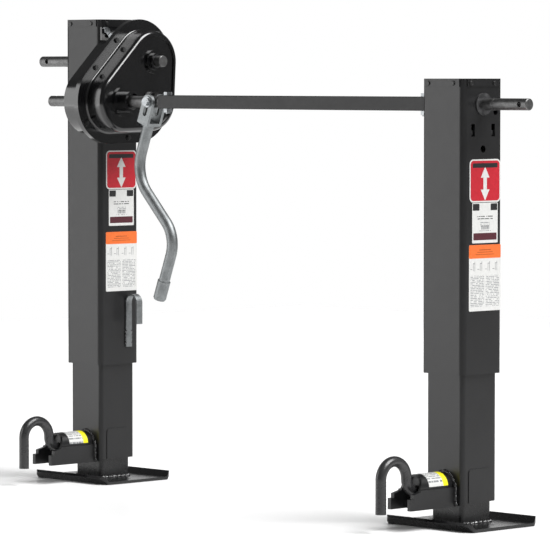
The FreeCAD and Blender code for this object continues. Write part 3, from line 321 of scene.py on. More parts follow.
@dataclass(frozen=True)
class ZincPlate:
    """Zinc plating: a pale, slightly clouded metal whose crystals are drawn coarse so they show."""

    name: str
    dark: str
    light: str
    roughness: float
    crystal_mm: float = 2.6
    crystal_share: float = 0.30
    cloud_mm: float = 14.0
    fine_mm: float = 0.9
    fine_height_mm: float = 0.02
    smoother: float = 0.06
    rougher: float = 0.10

    def build(self) -> bpy.types.Material:
        """Makes the material.

        Returns:
            The material.
        """
        material, surface, place = start_material(self.name, {"Metallic": 1.0})
        tree = material.node_tree
        where = place.outputs["Object"]
        crystal = add_node(
            tree, "ShaderNodeTexVoronoi", {"Scale": per_metre(self.crystal_mm)}, {"Vector": where}
        )
        cloud = add_node(
            tree,
            "ShaderNodeTexNoise",
            {"Scale": per_metre(self.cloud_mm), "Detail": 4.0},
            {"Vector": where},
        )
        grey = add_node(tree, "ShaderNodeRGBToBW", links={"Color": crystal.outputs["Color"]})
        both = add_node(
            tree,
            "ShaderNodeMath",
            {"operation": "MULTIPLY_ADD", 1: self.crystal_share},
            {0: grey.outputs[0], 2: cloud.outputs["Fac"]},
        )
        tone = add_node(tree, "ShaderNodeValToRGB", links={"Fac": both.outputs[0]})
        set_ramp(tone, [(0.40, linear(self.dark)), (0.88, linear(self.light))])
        tree.links.new(tone.outputs["Color"], surface.inputs["Base Color"])
        low, high = self.roughness - self.smoother, self.roughness + self.rougher
        gloss = add_node(
            tree, "ShaderNodeMapRange", {"To Min": low, "To Max": high}, {0: both.outputs[0]}
        )
        tree.links.new(gloss.outputs[0], surface.inputs["Roughness"])
        fine = add_node(
            tree,
            "ShaderNodeTexNoise",
            {"Scale": per_metre(self.fine_mm), "Detail": 2.0},
            {"Vector": where},
        )
        bump = add_node(
            tree,
            "ShaderNodeBump",
            {"Strength": 0.4, "Distance": self.fine_height_mm * MM},
            {"Height": fine.outputs["Fac"]},
        )
        tree.links.new(bump.outputs["Normal"], surface.inputs["Normal"])
        return material


# Printed film lies under a thin clear coat, which gives it a soft even sheen.
FILM_ROUGHNESS = 0.38
FILM_COAT = {"Coat Weight": 0.35, "Coat Roughness": 0.2}


@dataclass(frozen=True)
class Vinyl:
    """Printed vinyl film: an even ink colour under a thin clear coat, with a faint print grain."""

    name: str
    colour: str
    shade: str
    roughness: float = FILM_ROUGHNESS
    grain_mm: float = 5.0
    grain_height_mm: float = 0.01

    def build(self) -> bpy.types.Material:
        """Makes the material.

        Returns:
            The material.
        """
        material, surface, place = start_material(
            self.name, {"Roughness": self.roughness, **FILM_COAT}
        )
        tree = material.node_tree
        grain = add_node(
            tree,
            "ShaderNodeTexNoise",
            {"Scale": per_metre(self.grain_mm), "Detail": 5.0},
            {"Vector": place.outputs["Object"]},
        )
        tone = add_node(tree, "ShaderNodeValToRGB", links={"Fac": grain.outputs["Fac"]})
        set_ramp(tone, [(0.3, linear(self.shade)), (0.7, linear(self.colour))])
        tree.links.new(tone.outputs["Color"], surface.inputs["Base Color"])
        bump = add_node(
            tree,
            "ShaderNodeBump",
            {"Strength": 0.3, "Distance": self.grain_height_mm * MM},
            {"Height": grain.outputs["Fac"]},
        )
        tree.links.new(bump.outputs["Normal"], surface.inputs["Normal"])
        return material


@dataclass(frozen=True)
class GreyedLines:
    """Printed vinyl that carries rows of grey dashes in place of words."""

    name: str
    ink: str
    row_mm: float
    paper: str = "#cbcbc9"
    along: str = "Y"
    across: str = "Z"
    band_colour: str | None = None
    band_from: float = 0.0
    cover: float = 0.46
    word_mm: float = 3.2
    row_jump: float = 7.3
    word_gap: float = 0.44

    def build(self) -> bpy.types.Material:
        """Makes the material.

        Returns:
            The material.
        """
        material, surface, place = start_material(
            self.name, {"Roughness": FILM_ROUGHNESS, **FILM_COAT}
        )
        tree = material.node_tree
        axes = add_node(tree, "ShaderNodeSeparateXYZ", links={"Vector": place.outputs["Object"]})
        rows = add_node(
            tree,
            "ShaderNodeMath",
            {"operation": "MULTIPLY", 1: per_metre(self.row_mm)},
            {0: axes.outputs[self.across]},
        )
        row = add_node(tree, "ShaderNodeMath", {"operation": "FLOOR"}, {0: rows.outputs[0]})
        within = add_node(tree, "ShaderNodeMath", {"operation": "FRACT"}, {0: rows.outputs[0]})
        inked = add_node(
            tree,
            "ShaderNodeMath",
            {"operation": "LESS_THAN", 1: self.cover},
            {0: within.outputs[0]},
        )
        words = add_node(
            tree,
            "ShaderNodeMath",
            {"operation": "MULTIPLY", 1: per_metre(self.word_mm)},
            {0: axes.outputs[self.along]},
        )
        jump = add_node(
            tree,
            "ShaderNodeMath",
            {"operation": "MULTIPLY", 1: self.row_jump},
            {0: row.outputs[0]},
        )
        spot = add_node(
            tree, "ShaderNodeCombineXYZ", links={"X": words.outputs[0], "Y": jump.outputs[0]}
        )
        gaps = add_node(
            tree, "ShaderNodeTexNoise", {"Scale": 1.0, "Detail": 1.0}, {"Vector": spot.outputs[0]}
        )
        word = add_node(
            tree,
            "ShaderNodeMath",
            {"operation": "GREATER_THAN", 1: self.word_gap},
            {0: gaps.outputs["Fac"]},
        )
        mask = add_node(
            tree,
            "ShaderNodeMath",
            {"operation": "MULTIPLY"},
            {0: inked.outputs[0], 1: word.outputs[0]},
        )
        print_on = add_node(
            tree,
            "ShaderNodeMix",
            {"data_type": "RGBA", 6: linear(self.paper), 7: linear(self.ink)},
            {0: mask.outputs[0]},
        )
        colour = print_on.outputs[2]
        if self.band_colour:
            past = add_node(
                tree,
                "ShaderNodeMath",
                {"operation": "GREATER_THAN", 1: self.band_from},
                {0: axes.outputs["Y"]},
            )
            banded = add_node(
                tree,
                "ShaderNodeMix",
                {"data_type": "RGBA", 7: linear(self.band_colour)},
                {0: past.outputs[0], 6: colour},
            )
            colour = banded.outputs[2]
        tree.links.new(colour, surface.inputs["Base Color"])
        return material


class Finishes:
    """Every finish of the jack, made once and handed out by name."""

    RECIPES = (
        # Satin enamel shows broad soft reflections, with the steel's flatness under it; on the
        # feet its orange peel is coarser, and on the pins it is thicker and brighter.
        Enamel("tube_satin_enamel", "#0e0e0f", "#151516", 0.36),
        Enamel("foot_satin_enamel", "#101011", "#161617", 0.28, peel_height_mm=0.03),
        Enamel("pin_semigloss_enamel", "#242425", "#303031", 0.28),
        # Gloss enamel on a pressed cover shows thin sharp highlights along its rims.
        Enamel(
            "gearbox_gloss_enamel",
            "#060607",
            "#0b0b0c",
            0.20,
            roughness_spread=0.06,
            peel_height_mm=0.02,
            coat=0.5,
        ),
        # The cross tube's enamel is thin and nearly dull; oxide on the bolts is a thin dark skin.
        Enamel("cross_tube_enamel", "#0c0c0d", "#141415", 0.52),
        Enamel("black_oxide", "#151515", "#222222", 0.34, peel_mm=0.8),
        # Enamel pools between a weld's ripples, so each ripple carries its own small highlight.
        Enamel("weld_enamel", "#161617", "#1f1f20", 0.16, peel_mm=0.8, coat=0.5),
        # Cold-drawn bar is a mid grey metal with dark oily patches and lines along its length.
        Steel("cold_drawn_steel", "#5e5e5e", "#767676", 0.46, grain_height_mm=0.008),
        # Cut gear teeth are bright with tool marks across them; ground races are smoother still.
        Steel("machined_gear_steel", "#767676", "#9a9a9a", 0.32, 4.0, (0.6, 3.0, 3.0)),
        Steel("ground_bearing_steel", "#9a9a9b", "#b4b4b5", 0.22, 12.0, (3.0, 3.0, 0.4)),
        # Mill scale is dark and dull; tempered spring wire is a blue grey with a clean sheen.
        Steel("mill_steel", "#4a4a4b", "#6a6a6b", 0.5, 9.0, (2.0, 2.0, 2.0)),
        Steel("oil_tempered_spring_steel", "#4c4c4f", "#77777a", 0.3, 3.0, (0.4, 0.4, 0.4)),
        # Cast bronze is a warm brown gold with an even, pebbly skin.
        Steel("cast_bronze", "#8d6a35", "#b08a4c", 0.42, 3.0, (1.0, 1.0, 1.0), 0.05),
        # Dull zinc on the handle is flat and pale; bright zinc on bolts mirrors more.
        ZincPlate("dull_zinc_plate", "#777a7b", "#909394", 0.46),
        ZincPlate("bright_zinc_plate", "#828587", "#a6a9ab", 0.32, 1.6),
        # Printed vinyl is flat colour with a soft sheen; its whites are a little grey.
        Vinyl("white_vinyl", "#cdcdcb", "#c5c5c3"),
        Vinyl("red_ink", "#b51426", "#a81022"),
        Vinyl("dark_red_ink", "#4a1220", "#42101c"),
        Vinyl("black_ink", "#18181a", "#121214"),
        Vinyl("grey_ink", "#6d6f72", "#5f6164"),
        Vinyl("orange_ink", "#dd6a28", "#d56222"),
        Vinyl("dark_orange_ink", "#9c4a0c", "#8f430a"),
        GreyedLines("fine_print", "#7c7e80", 2.9),
        GreyedLines("title_print", "#343638", 4.2, cover=0.4),
        # Floor paint is matt, so that it shows only soft shade.
        Vinyl("pale_floor_paint", "#fafafa", "#f7f7f7", 0.7),
    )
    BY_SLOT = {
        "tube_paint": "tube_satin_enamel",
        "foot_paint": "foot_satin_enamel",
        "pin_paint": "pin_semigloss_enamel",
        "gearbox_paint": "gearbox_gloss_enamel",
        "cross_tube_paint": "cross_tube_enamel",
        "shaft_steel": "cold_drawn_steel",
        "crank_zinc": "dull_zinc_plate",
        "bright_zinc": "bright_zinc_plate",
        "black_hardware": "black_oxide",
        "gear_steel": "machined_gear_steel",
        "bearing_steel": "ground_bearing_steel",
        "plain_steel": "mill_steel",
        "spring_steel": "oil_tempered_spring_steel",
        "bronze": "cast_bronze",
        "emblem_label": "white_vinyl",
        "rating_label": "white_vinyl",
        "notice_label": "white_vinyl",
        "pin_label": "white_vinyl",
    }

    def __init__(self) -> None:
        """Makes every material."""
        self.made = {recipe.name: recipe.build() for recipe in self.RECIPES}

    def dress(self, piece: bpy.types.Object, finish: str) -> None:
        """Gives a piece one of the finishes.

        Args:
            piece: The piece to dress.
            finish: The finish's name.
        """
        self.dress_with(piece, self.made[finish])

    @staticmethod
    def dress_with(piece: bpy.types.Object, material: bpy.types.Material) -> None:
        """Puts a material in all of a piece's material slots.

        Args:
            piece: The piece to dress.
            material: The material.
        """
        if not piece.material_slots:
            piece.data.materials.append(material)
        for holder in piece.material_slots:
            holder.material = material

    def dress_frame(self, frame: dict) -> None:
        """Dresses every CAD node by the slot that the record gives it.

        Args:
            frame: What the frame loader returned.
        """
        for row in frame["record"]["subparts"]:
            self.dress(frame["nodes"][row["node"]], self.BY_SLOT[row["material_slot"]])


# ------------------------------------------------------------------ modelling by hand


def deselect() -> None:
    """Leaves edit mode and deselects everything."""
    if bpy.context.mode != "OBJECT":
        bpy.ops.object.mode_set(mode="OBJECT")
    bpy.ops.object.select_all(action="DESELECT")


def pick(piece: bpy.types.Object, others: list[bpy.types.Object] | None = None) -> None:
    """Selects a piece and makes it the active one.

    Args:
        piece: The piece.
        others: Pieces to select along with it.
    """
    deselect()
    for other in others or []:
        other.select_set(True)
    piece.select_set(True)
    bpy.context.view_layer.objects.active = piece


def settle(piece: bpy.types.Object) -> bpy.types.Object:
    """Moves a piece's place, turn and scale into its mesh.

    Args:
        piece: The piece.

    Returns:
        The same piece, at the origin, unturned and unscaled.
    """
    pick(piece)
    bpy.ops.object.transform_apply(location=True, rotation=True, scale=True)
    return piece


def apply_modifier(piece: bpy.types.Object, kind: str, **settings: object) -> None:
    """Adds a modifier and applies it.

    Args:
        piece: The piece to change.
        kind: The modifier's type.
        **settings: The modifier's settings.
    """
    modifier = piece.modifiers.new(kind.lower(), kind)
    for name, value in settings.items():
        setattr(modifier, name, value)
    pick(piece)
    bpy.ops.object.modifier_apply(modifier=modifier.name)


def join(pieces: list[bpy.types.Object]) -> bpy.types.Object:
    """Joins pieces into the first one.

    Args:
        pieces: The pieces to join.

    Returns:
        The first piece, which now holds them all.
    """
    pick(pieces[0], pieces[1:])
    if len(pieces) > 1:
        bpy.ops.object.join()
    return pieces[0]


def copy_of(piece: bpy.types.Object, shift: Vector, name: str) -> bpy.types.Object:
    """A copy with its own mesh, moved.

    Args:
        piece: The piece to copy.
        shift: How far to move the copy.
        name: The copy's name.

    Returns:
        The copy, with its place in its mesh.
    """
    twin = piece.copy()
    twin.data = piece.data.copy()
    twin.name = name
    bpy.context.scene.collection.objects.link(twin)
    twin.data.transform(Matrix.Translation(shift))
    return twin


def hand_over(piece: bpy.types.Object, name: str, body: str) -> bpy.types.Object:
    """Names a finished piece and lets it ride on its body.

    Args:
        piece: The finished piece.
        name: Its name.
        body: The CAD body that it moves with.

    Returns:
        The piece.
    """
    piece.name = name
    piece.data.name = name
    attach(piece, body)
    LOG.info("%s: %d faces on %s", name, len(piece.data.polygons), body)
    return piece


@dataclass
class FacePanel:
    """A thin printed panel on a face that looks along +X, with rounded corners and an eased rim."""

    face_x: float
    y: float
    z: float
    width: float
    height: float
    thickness: float
    corner: float = 1.5 * MM
    base: float = 0.0
    rim_share: float = 0.25

    def build(self) -> bpy.types.Object:
        """Models the panel: a slab, its four corners rounded, then its rims eased.

        Returns:
            The panel.
        """
        deselect()
        middle = (self.face_x + self.base + self.thickness / 2, self.y, self.z)
        bpy.ops.mesh.primitive_cube_add(
            size=1.0, location=middle, scale=(self.thickness, self.width, self.height)
        )
        panel = settle(bpy.context.active_object)
        for edge in panel.data.edges:
            ends = [panel.data.vertices[i].co for i in edge.vertices]
            edge.select = abs(ends[0].x - ends[1].x) > self.thickness / 2
        for item in list(panel.data.vertices) + list(panel.data.polygons):
            item.select = False
        bpy.context.tool_settings.mesh_select_mode = (False, True, False)
        bpy.ops.object.mode_set(mode="EDIT")
        bpy.ops.mesh.bevel(offset=self.corner, segments=6, affect="EDGES")
        bpy.ops.object.mode_set(mode="OBJECT")
        rim = self.thickness * self.rim_share
        apply_modifier(panel, "BEVEL", width=rim, segments=1, limit_method="ANGLE")
        return panel


@dataclass
class WeldBead:
    """A weld bead: overlapping ripples laid along a path and melted into one skin."""

    path: list[Vector]
    width: float = 7.0 * MM
    step: float = 2.6 * MM
    closed: bool = False
    voxel: float = 0.8 * MM
    wander: float = 0.7 * MM
    wander_size: float = 6.0 * MM
    ripple_flatness: float = 0.55

    def places(self) -> list[tuple[Vector, Vector]]:
        """Finds where the ripples lie.

        Returns:
            Points along the path at the ripple step, each with its direction.
        """
        points = list(self.path) + ([self.path[0]] if self.closed else [])
        placed = []
        for start, end in zip(points, points[1:]):
            run = end - start
            count = max(1, round(run.length / self.step))
            placed += [(start + run * (i / count), run.normalized()) for i in range(count)]
        if not self.closed:
            placed.append((points[-1], (points[-1] - points[-2]).normalized()))
        return placed

    @staticmethod
    def swell(number: int) -> float:
        """How large a ripple is, by its number: two slow waves, so that it looks laid by hand."""
        return 1.0 + 0.13 * math.sin(number * 1.7) + 0.08 * math.sin(number * 0.61 + 1.0)

    def build(self) -> bpy.types.Object:
        """Models the bead.

        Returns:
            The bead, as one closed skin.
        """
        deselect()
        bpy.ops.mesh.primitive_uv_sphere_add(segments=12, ring_count=8, radius=self.width / 2)
        ripple = bpy.context.active_object
        ripple.scale = (self.ripple_flatness, 1.0, 1.0)
        settle(ripple)
        ripples = []
        for number, (point, run) in enumerate(self.places()):
            twin = copy_of(ripple, Vector((0, 0, 0)), f"ripple_{number}")
            turn = run.to_track_quat("X", "Z").to_matrix().to_4x4()
            size = Matrix.Scale(self.swell(number), 4)
            twin.data.transform(Matrix.Translation(point) @ turn @ size)
            ripples.append(twin)
        bpy.data.objects.remove(ripple)
        bead = join(ripples)
        apply_modifier(bead, "REMESH", mode="VOXEL", voxel_size=self.voxel)
        uneven = bpy.data.textures.new("weld_wander", "CLOUDS")
        uneven.noise_scale = self.wander_size
        apply_modifier(
            bead, "DISPLACE", texture=uneven, strength=self.wander, texture_coords="LOCAL"
        )
        pick(bead)
        bpy.ops.object.shade_smooth()
        return bead


# ------------------------------------------------------------------ sub-assemblies


@dataclass
class LegDress:
    """The welds, spring and printed pin label of one leg."""

    leg: Leg
    finishes: Finishes
    frame: dict
    pin_z: float = 70.0 * MM
    foot_top: float = 6.0 * MM
    tube_corner: float = 8.0 * MM
    coil_radius: float = 13.0 * MM
    wire_radius: float = 1.1 * MM
    turns: int = 8
    pin_travel: float = 15.0 * MM
    band_width: float = 12.0 * MM
    crown_drop: float = 5.0 * MM
    bracket_gap: float = 3.0 * MM

    def build(self) -> None:
        """Builds and dresses every new piece of the leg."""
        self.foot_weld()
        self.bracket_weld()
        self.return_spring()
        self.pin_label()

    def drop_box(self) -> tuple[Vector, Vector]:
        """The corners of the inner leg."""
        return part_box(self.leg.node("drop_leg"))

    def foot_weld(self) -> None:
        """Lays the bead all round the inner leg where it meets its foot."""
        low, high = self.drop_box()
        radius = self.tube_corner
        path = []
        tube_corners = (
            (high.x, high.y, 0),
            (low.x, high.y, 90),
            (low.x, low.y, 180),
            (high.x, low.y, 270),
        )
        for x, y, start in tube_corners:
            centre_x = x - radius if x == high.x else x + radius
            centre_y = y - radius if y == high.y else y + radius
            for turn in range(0, 91, 15):
                angle = math.radians(start + turn)
                x_here = centre_x + radius * math.cos(angle)
                y_here = centre_y + radius * math.sin(angle)
                path.append(Vector((x_here, y_here, self.foot_top)))
        bead = WeldBead(path, width=9.0 * MM, step=3.0 * MM, closed=True, wander=1.0 * MM).build()
        self.finishes.dress(bead, "weld_enamel")
        hand_over(bead, self.leg.node("foot_weld"), self.leg.node("drop"))

    def bracket_weld(self) -> None:
        """Lays the bead where the pin bracket meets the sliding tube."""
        low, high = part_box(self.leg.node("pin_bracket"))
        ram_low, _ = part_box(self.leg.node("ram_tube"))
        middle = (low.x + high.x) / 2
        y = ram_low.y
        crown_z = self.pin_z + self.crown_drop
        crown_r = high.z - crown_z
        start_z = low.z + self.bracket_gap
        path = [Vector((high.x, y, start_z)), Vector((high.x, y, crown_z))]
        for turn in range(15, 166, 15):
            angle = math.radians(turn)
            x_here = middle + crown_r * math.cos(angle)
            z_here = crown_z + crown_r * math.sin(angle)
            path.append(Vector((x_here, y, z_here)))
        path += [Vector((low.x, y, crown_z)), Vector((low.x, y, start_z))]
        bead = WeldBead(path, width=8.0 * MM, step=3.0 * MM).build()
        self.finishes.dress(bead, "weld_enamel")
        hand_over(bead, self.leg.node("bracket_weld"), self.leg.node("ram"))

    def return_spring(self) -> None:
        """Winds the pin's return spring between the guide and the pin's washer."""
        washer_low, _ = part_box(self.leg.node("pin_washer"))
        rings_low, rings_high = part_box(self.leg.node("pin_spring"))
        centre_x = (rings_low.x + rings_high.x) / 2
        start, end = rings_low.y, washer_low.y
        length = end - start - 2 * self.wire_radius
        deselect()
        bpy.ops.mesh.primitive_circle_add(
            vertices=10,
            radius=self.wire_radius,
            location=(self.coil_radius, 0, 0),
            fill_type="NOTHING",
        )
        spring = settle(bpy.context.active_object)
        apply_modifier(
            spring,
            "SCREW",
            axis="Y",
            angle=2 * math.pi * self.turns,
            screw_offset=length,
            steps=24 * self.turns,
            render_steps=24 * self.turns,
        )
        pick(spring)
        bpy.ops.object.mode_set(mode="EDIT")
        bpy.ops.mesh.select_all(action="SELECT")
        bpy.ops.mesh.fill_holes(sides=0)
        bpy.ops.mesh.select_all(action="SELECT")
        bpy.ops.mesh.normals_make_consistent(inside=False)
        bpy.ops.object.mode_set(mode="OBJECT")
        spring.location = (centre_x, start + self.wire_radius, self.pin_z)
        settle(spring)
        bpy.ops.object.shade_smooth()
        self.finishes.dress(spring, "oil_tempered_spring_steel")
        hand_over(spring, self.leg.node("spring_coil"), self.leg.node("ram"))
        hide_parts(self.leg.node("pin_spring"))
        self.leg.node("pin_slide")
        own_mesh(spring)

    def pin_label(self) -> None:
        """Prints the wrapped label: grey dashes and a yellow band on the tube's side."""
        node = self.leg.node("pin_label")
        _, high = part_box(node)
        recipe = GreyedLines(
            self.leg.node("pin_label_print"),
            "#77797b",
            3.4,
            along="Y",
            across="X",
            band_colour="#e8df1c",
            band_from=high.y - self.band_width,
        )
        Finishes.dress_with(self.frame["nodes"][node], recipe.build())


@dataclass
class FaceLabels:
    """The three printed plates on a leg's +X face, drawn with plain marks.

    Each plate's three sizes are the height of its middle, its width and its height.
    """

    leg: Leg
    finishes: Finishes
    film: float = 0.36 * MM
    ink: float = 0.05 * MM
    y_shift: float = 5.0 * MM
    emblem: tuple[float, float, float] = (614.0 * MM, 80.0 * MM, 76.0 * MM)
    rating: tuple[float, float, float] = (539.5 * MM, 66.0 * MM, 71.0 * MM)
    notice: tuple[float, float, float] = (433.5 * MM, 82.0 * MM, 117.0 * MM)
    second_rise: float = 9.0 * MM
    arrow_drop: float = 5.0 * MM
    arrow_reach: float = 17.0 * MM
    arrow_radius: float = 13.0 * MM
    face_x: float = field(init=False)
    middle_y: float = field(init=False)

    def __post_init__(self) -> None:
        """Finds the face that the labels are on."""
        low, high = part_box(self.leg.node("outer_tube"))
        self.face_x = high.x
        self.middle_y = (low.y + high.y) / 2 + self.y_shift

    def panel(
        self,
        z: float,
        width: float,
        height: float,
        across: float = 0.0,
        layer: int = 1,
        corner: float = 1.0 * MM,
    ) -> bpy.types.Object:
        """Models one printed area.

        Args:
            z: The height of its middle.
            width: Its width.
            height: Its height.
            across: How far its middle is from the label's, towards +Y.
            layer: 0 for the film itself, then 1 and up for inks over it.
            corner: Its corner radius.

        Returns:
            The panel.
        """
        base = 0.0 if layer == 0 else self.film + self.ink * (layer - 1)
        thickness = self.film if layer == 0 else self.ink
        return FacePanel(
            self.face_x, self.middle_y + across, z, width, height, thickness, corner, base
        ).build()

    def place(
        self, pieces: list[bpy.types.Object], name: str, finish: str, slot: Slot
    ) -> bpy.types.Object:
        """Joins pieces of one ink, dresses them and lets them ride on the frame.

        Args:
            pieces: The panels of this ink.
            name: The piece's name, without its leg's.
            finish: The finish's name.
            slot: The record's material slot; not used.

        Returns:
            The joined piece.
        """
        joined = join(pieces)
        self.finishes.dress(joined, finish)
        return hand_over(joined, self.leg.node(name), "frame")

    def build(self) -> None:
        """Builds the three plates."""
        self.build_emblem()
        self.build_rating()
        self.build_notice()

    def build_emblem(self) -> None:
        """A red plate with a white rim, a dark strip and an arrow that points both up and down."""
        z, width, height = self.emblem
        rim = 2.6 * MM
        film = self.panel(z, width, height, layer=0, corner=9 * MM)
        plate = self.place([film], "emblem_plate", "white_vinyl", Slot.EMBLEM)
        if self.leg is Leg.PRIMARY:
            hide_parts("emblem_labels")
        red = self.panel(z, width - 2 * rim, height - 2 * rim, corner=7 * MM)
        self.place([red], "emblem_field", "red_ink", Slot.EMBLEM)
        strip_z = z + height / 2 - 11 * MM
        strip = self.panel(strip_z, width - 16 * MM, 8 * MM, layer=2, corner=2 * MM)
        self.place([strip], "emblem_strip", "black_ink", Slot.EMBLEM)
        arrow_z = z - self.arrow_drop
        shaft = self.panel(arrow_z, 9 * MM, 21 * MM, layer=2, corner=0.2 * MM)
        heads = [self.arrow_head(arrow_z + side * self.arrow_reach, side) for side in (-1, 1)]
        self.place([shaft, *heads], "emblem_arrow", "white_vinyl", Slot.EMBLEM)

    def arrow_head(self, z: float, side: int) -> bpy.types.Object:
        """A triangular arrow head, pointing up or down.

        Args:
            z: The height of its middle.
            side: 1 to point up, -1 to point down.

        Returns:
            The arrow head.
        """
        deselect()
        base_x = self.face_x + self.film + self.ink
        bpy.ops.mesh.primitive_cylinder_add(
            vertices=3,
            radius=self.arrow_radius,
            depth=self.ink,
            location=(base_x + self.ink / 2, self.middle_y, z),
            rotation=(side * math.pi / 2, 0, math.pi / 2),
        )
        head = settle(bpy.context.active_object)
        apply_modifier(head, "BEVEL", width=self.ink * 0.2, segments=1)
        return head

    def build_rating(self) -> None:
        """A white plate with dark top corners, grey dashes, a row of bars and a dark red strip."""
        z, width, height = self.rating
        top, low = z + height / 2, z - height / 2
        film = self.panel(z, width, height, layer=0, corner=2 * MM)
        plate = self.place([film], "rating_plate", "white_vinyl", Slot.RATING)
        if self.leg is Leg.PRIMARY:
            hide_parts("rating_labels")
        reach = width / 2 - 10 * MM
        dark_corners = [
            self.panel(top - 7.5 * MM, 17 * MM, 12 * MM, across=side * reach) for side in (-1, 1)
        ]
        self.place(dark_corners, "rating_corners", "black_ink", Slot.RATING)
        title = self.panel(top - 26 * MM, 40 * MM, 8.4 * MM)
        self.place([title], "rating_title", "title_print", Slot.RATING)
        lines = self.panel(top - 37 * MM, 24 * MM, 8.7 * MM)
        foot_line = self.panel(low + 21 * MM, 30 * MM, 2.9 * MM, corner=0.5 * MM)
        self.place([lines, foot_line], "rating_lines", "fine_print", Slot.RATING)
        # A row of upright bars, each 1 mm from the next; widths in millimetres.
        bar_z = low + 27.5 * MM
        bars = []
        across = -9.5
        for bar in (1.4, 0.7, 1.0, 1.8, 0.7, 1.2, 0.8, 1.6, 0.7, 1.1):
            across += bar / 2
            bars.append(
                self.panel(bar_z, bar * MM, 7 * MM, across=across * MM, corner=0.1 * MM)
            )
            across += bar / 2 + 1.0
        self.place(bars, "rating_bars", "grey_ink", Slot.RATING)
        strip = self.panel(low + 11.5 * MM, width - 6 * MM, 12.5 * MM)
        self.place([strip], "rating_strip", "dark_red_ink", Slot.RATING)

    def build_notice(self) -> None:
        """A tall white label: an orange head, plain line figures and two columns of grey dashes."""
        z, width, height = self.notice
        if self.leg is Leg.SECONDARY:
            z += self.second_rise
        top, low = z + height / 2, z - height / 2
        film = self.panel(z, width, height, layer=0, corner=2.5 * MM)
        plate = self.place([film], "notice_plate", "white_vinyl", Slot.NOTICE)
        if self.leg is Leg.PRIMARY:
            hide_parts("notice_labels")
        band = 24 * MM
        head = self.panel(top - band / 2, width, band, corner=2.5 * MM)
        self.place([head], "notice_head", "orange_ink", Slot.NOTICE)
        # Three bars in place of a heading: drop below the top, width and height.
        marks = [
            self.panel(top - drop * MM, wide * MM, tall * MM, layer=2, corner=0.3 * MM)
            for drop, wide, tall in ((9, 30, 1.6), (13, 40, 1.2), (17, 48, 1.0))
        ]
        self.place(marks, "notice_head_marks", "dark_orange_ink", Slot.NOTICE)
        figures = []
        figure_z = top - band - 15 * MM
        # Each figure is two uprights and two bars: offset, width, height and rise.
        strokes = ((0, 0.9, 14, 0), (4, 0.9, 17, 1), (-5, 5, 0.9, -4), (2, 5, 0.9, 6))
        for across in (-30, -12, 8, 27):
            for offset, wide, tall, lift in strokes:
                figures.append(
                    self.panel(
                        figure_z + lift * MM,
                        wide * MM,
                        tall * MM,
                        across=(across + offset) * MM,
                        corner=0.1 * MM,
                    )
                )
        self.place(figures, "notice_figures", "grey_ink", Slot.NOTICE)
        column_height = height - band - 38 * MM
        column_z = low + 8 * MM + column_height / 2
        columns = [
            self.panel(column_z, 35 * MM, column_height, across=side * 19.5 * MM)
            for side in (-1, 1)
        ]
        self.place(columns, "notice_columns", "fine_print", Slot.NOTICE)


@dataclass
class CrankDress:
    """The weld between the crank's fork and its bar, and the clip's weld on the primary leg."""

    finishes: Finishes
    lean: float = math.radians(21.0)
    fork_below: float = 46.0 * MM
    bar_radius: float = 10.65 * MM
    clip_weld: float = 26.0 * MM
    clip_rise: float = 6.0 * MM
    clip_inset: float = 0.6 * MM

    def build(self, frame: dict) -> None:
        """Builds both welds.

        Args:
            frame: What the frame loader returned.
        """
        joint = next(j for j in frame["joints"] if j["name"] == "crank_fold")
        pivot = Vector(joint["pos_m"])
        along = Vector((-math.sin(self.lean), 0.0, -math.cos(self.lean)))
        across = Vector((-along.z, 0.0, along.x))
        side = Vector((0.0, 1.0, 0.0))
        centre = pivot + along * self.fork_below
        ring = []
        for turn in range(0, 360, 15):
            angle = math.radians(turn)
            spoke = across * math.cos(angle) + side * math.sin(angle)
            ring.append(centre + spoke * self.bar_radius)
        bead = WeldBead(ring, width=5.5 * MM, step=2.2 * MM, closed=True, wander=0.5 * MM).build()
        self.finishes.dress(bead, "dull_zinc_plate")
        hand_over(bead, "crank_fork_weld", "crank")
        low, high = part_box("handle_clip")
        start_z = low.z + self.clip_rise
        path = [
            Vector((low.x + self.clip_inset, high.y, z))
            for z in (start_z, start_z + self.clip_weld)
        ]
        bead = WeldBead(path, width=5.0 * MM, step=2.2 * MM).build()
        self.finishes.dress(bead, "weld_enamel")
        twin = copy_of(bead, Vector((0, low.y - high.y, 0)), "handle_clip_weld_low")
        hand_over(bead, "handle_clip_weld_far", "frame")
        hand_over(twin, "handle_clip_weld_near", "frame")


@dataclass(frozen=True)
class SoftPanel:
    """A rectangular soft light that looks at the object's middle.

    The azimuth is in degrees round from -Y towards +X, the elevation in degrees above level, the
    distance and the size in metres, and the power in watts.
    """

    name: str
    azimuth: float
    elevation: float
    distance: float
    size: tuple[float, float]
    power: float


@dataclass(frozen=True)
class Overhead:
    """A broad even light from above, which fills the whole floor.

    Its directions are as a soft panel's; it looks spread degrees wide, and its strength is in
    watts per square metre.
    """

    azimuth: float = 108.0
    elevation: float = 52.0
    spread: float = 40.0
    strength: float = 5.0


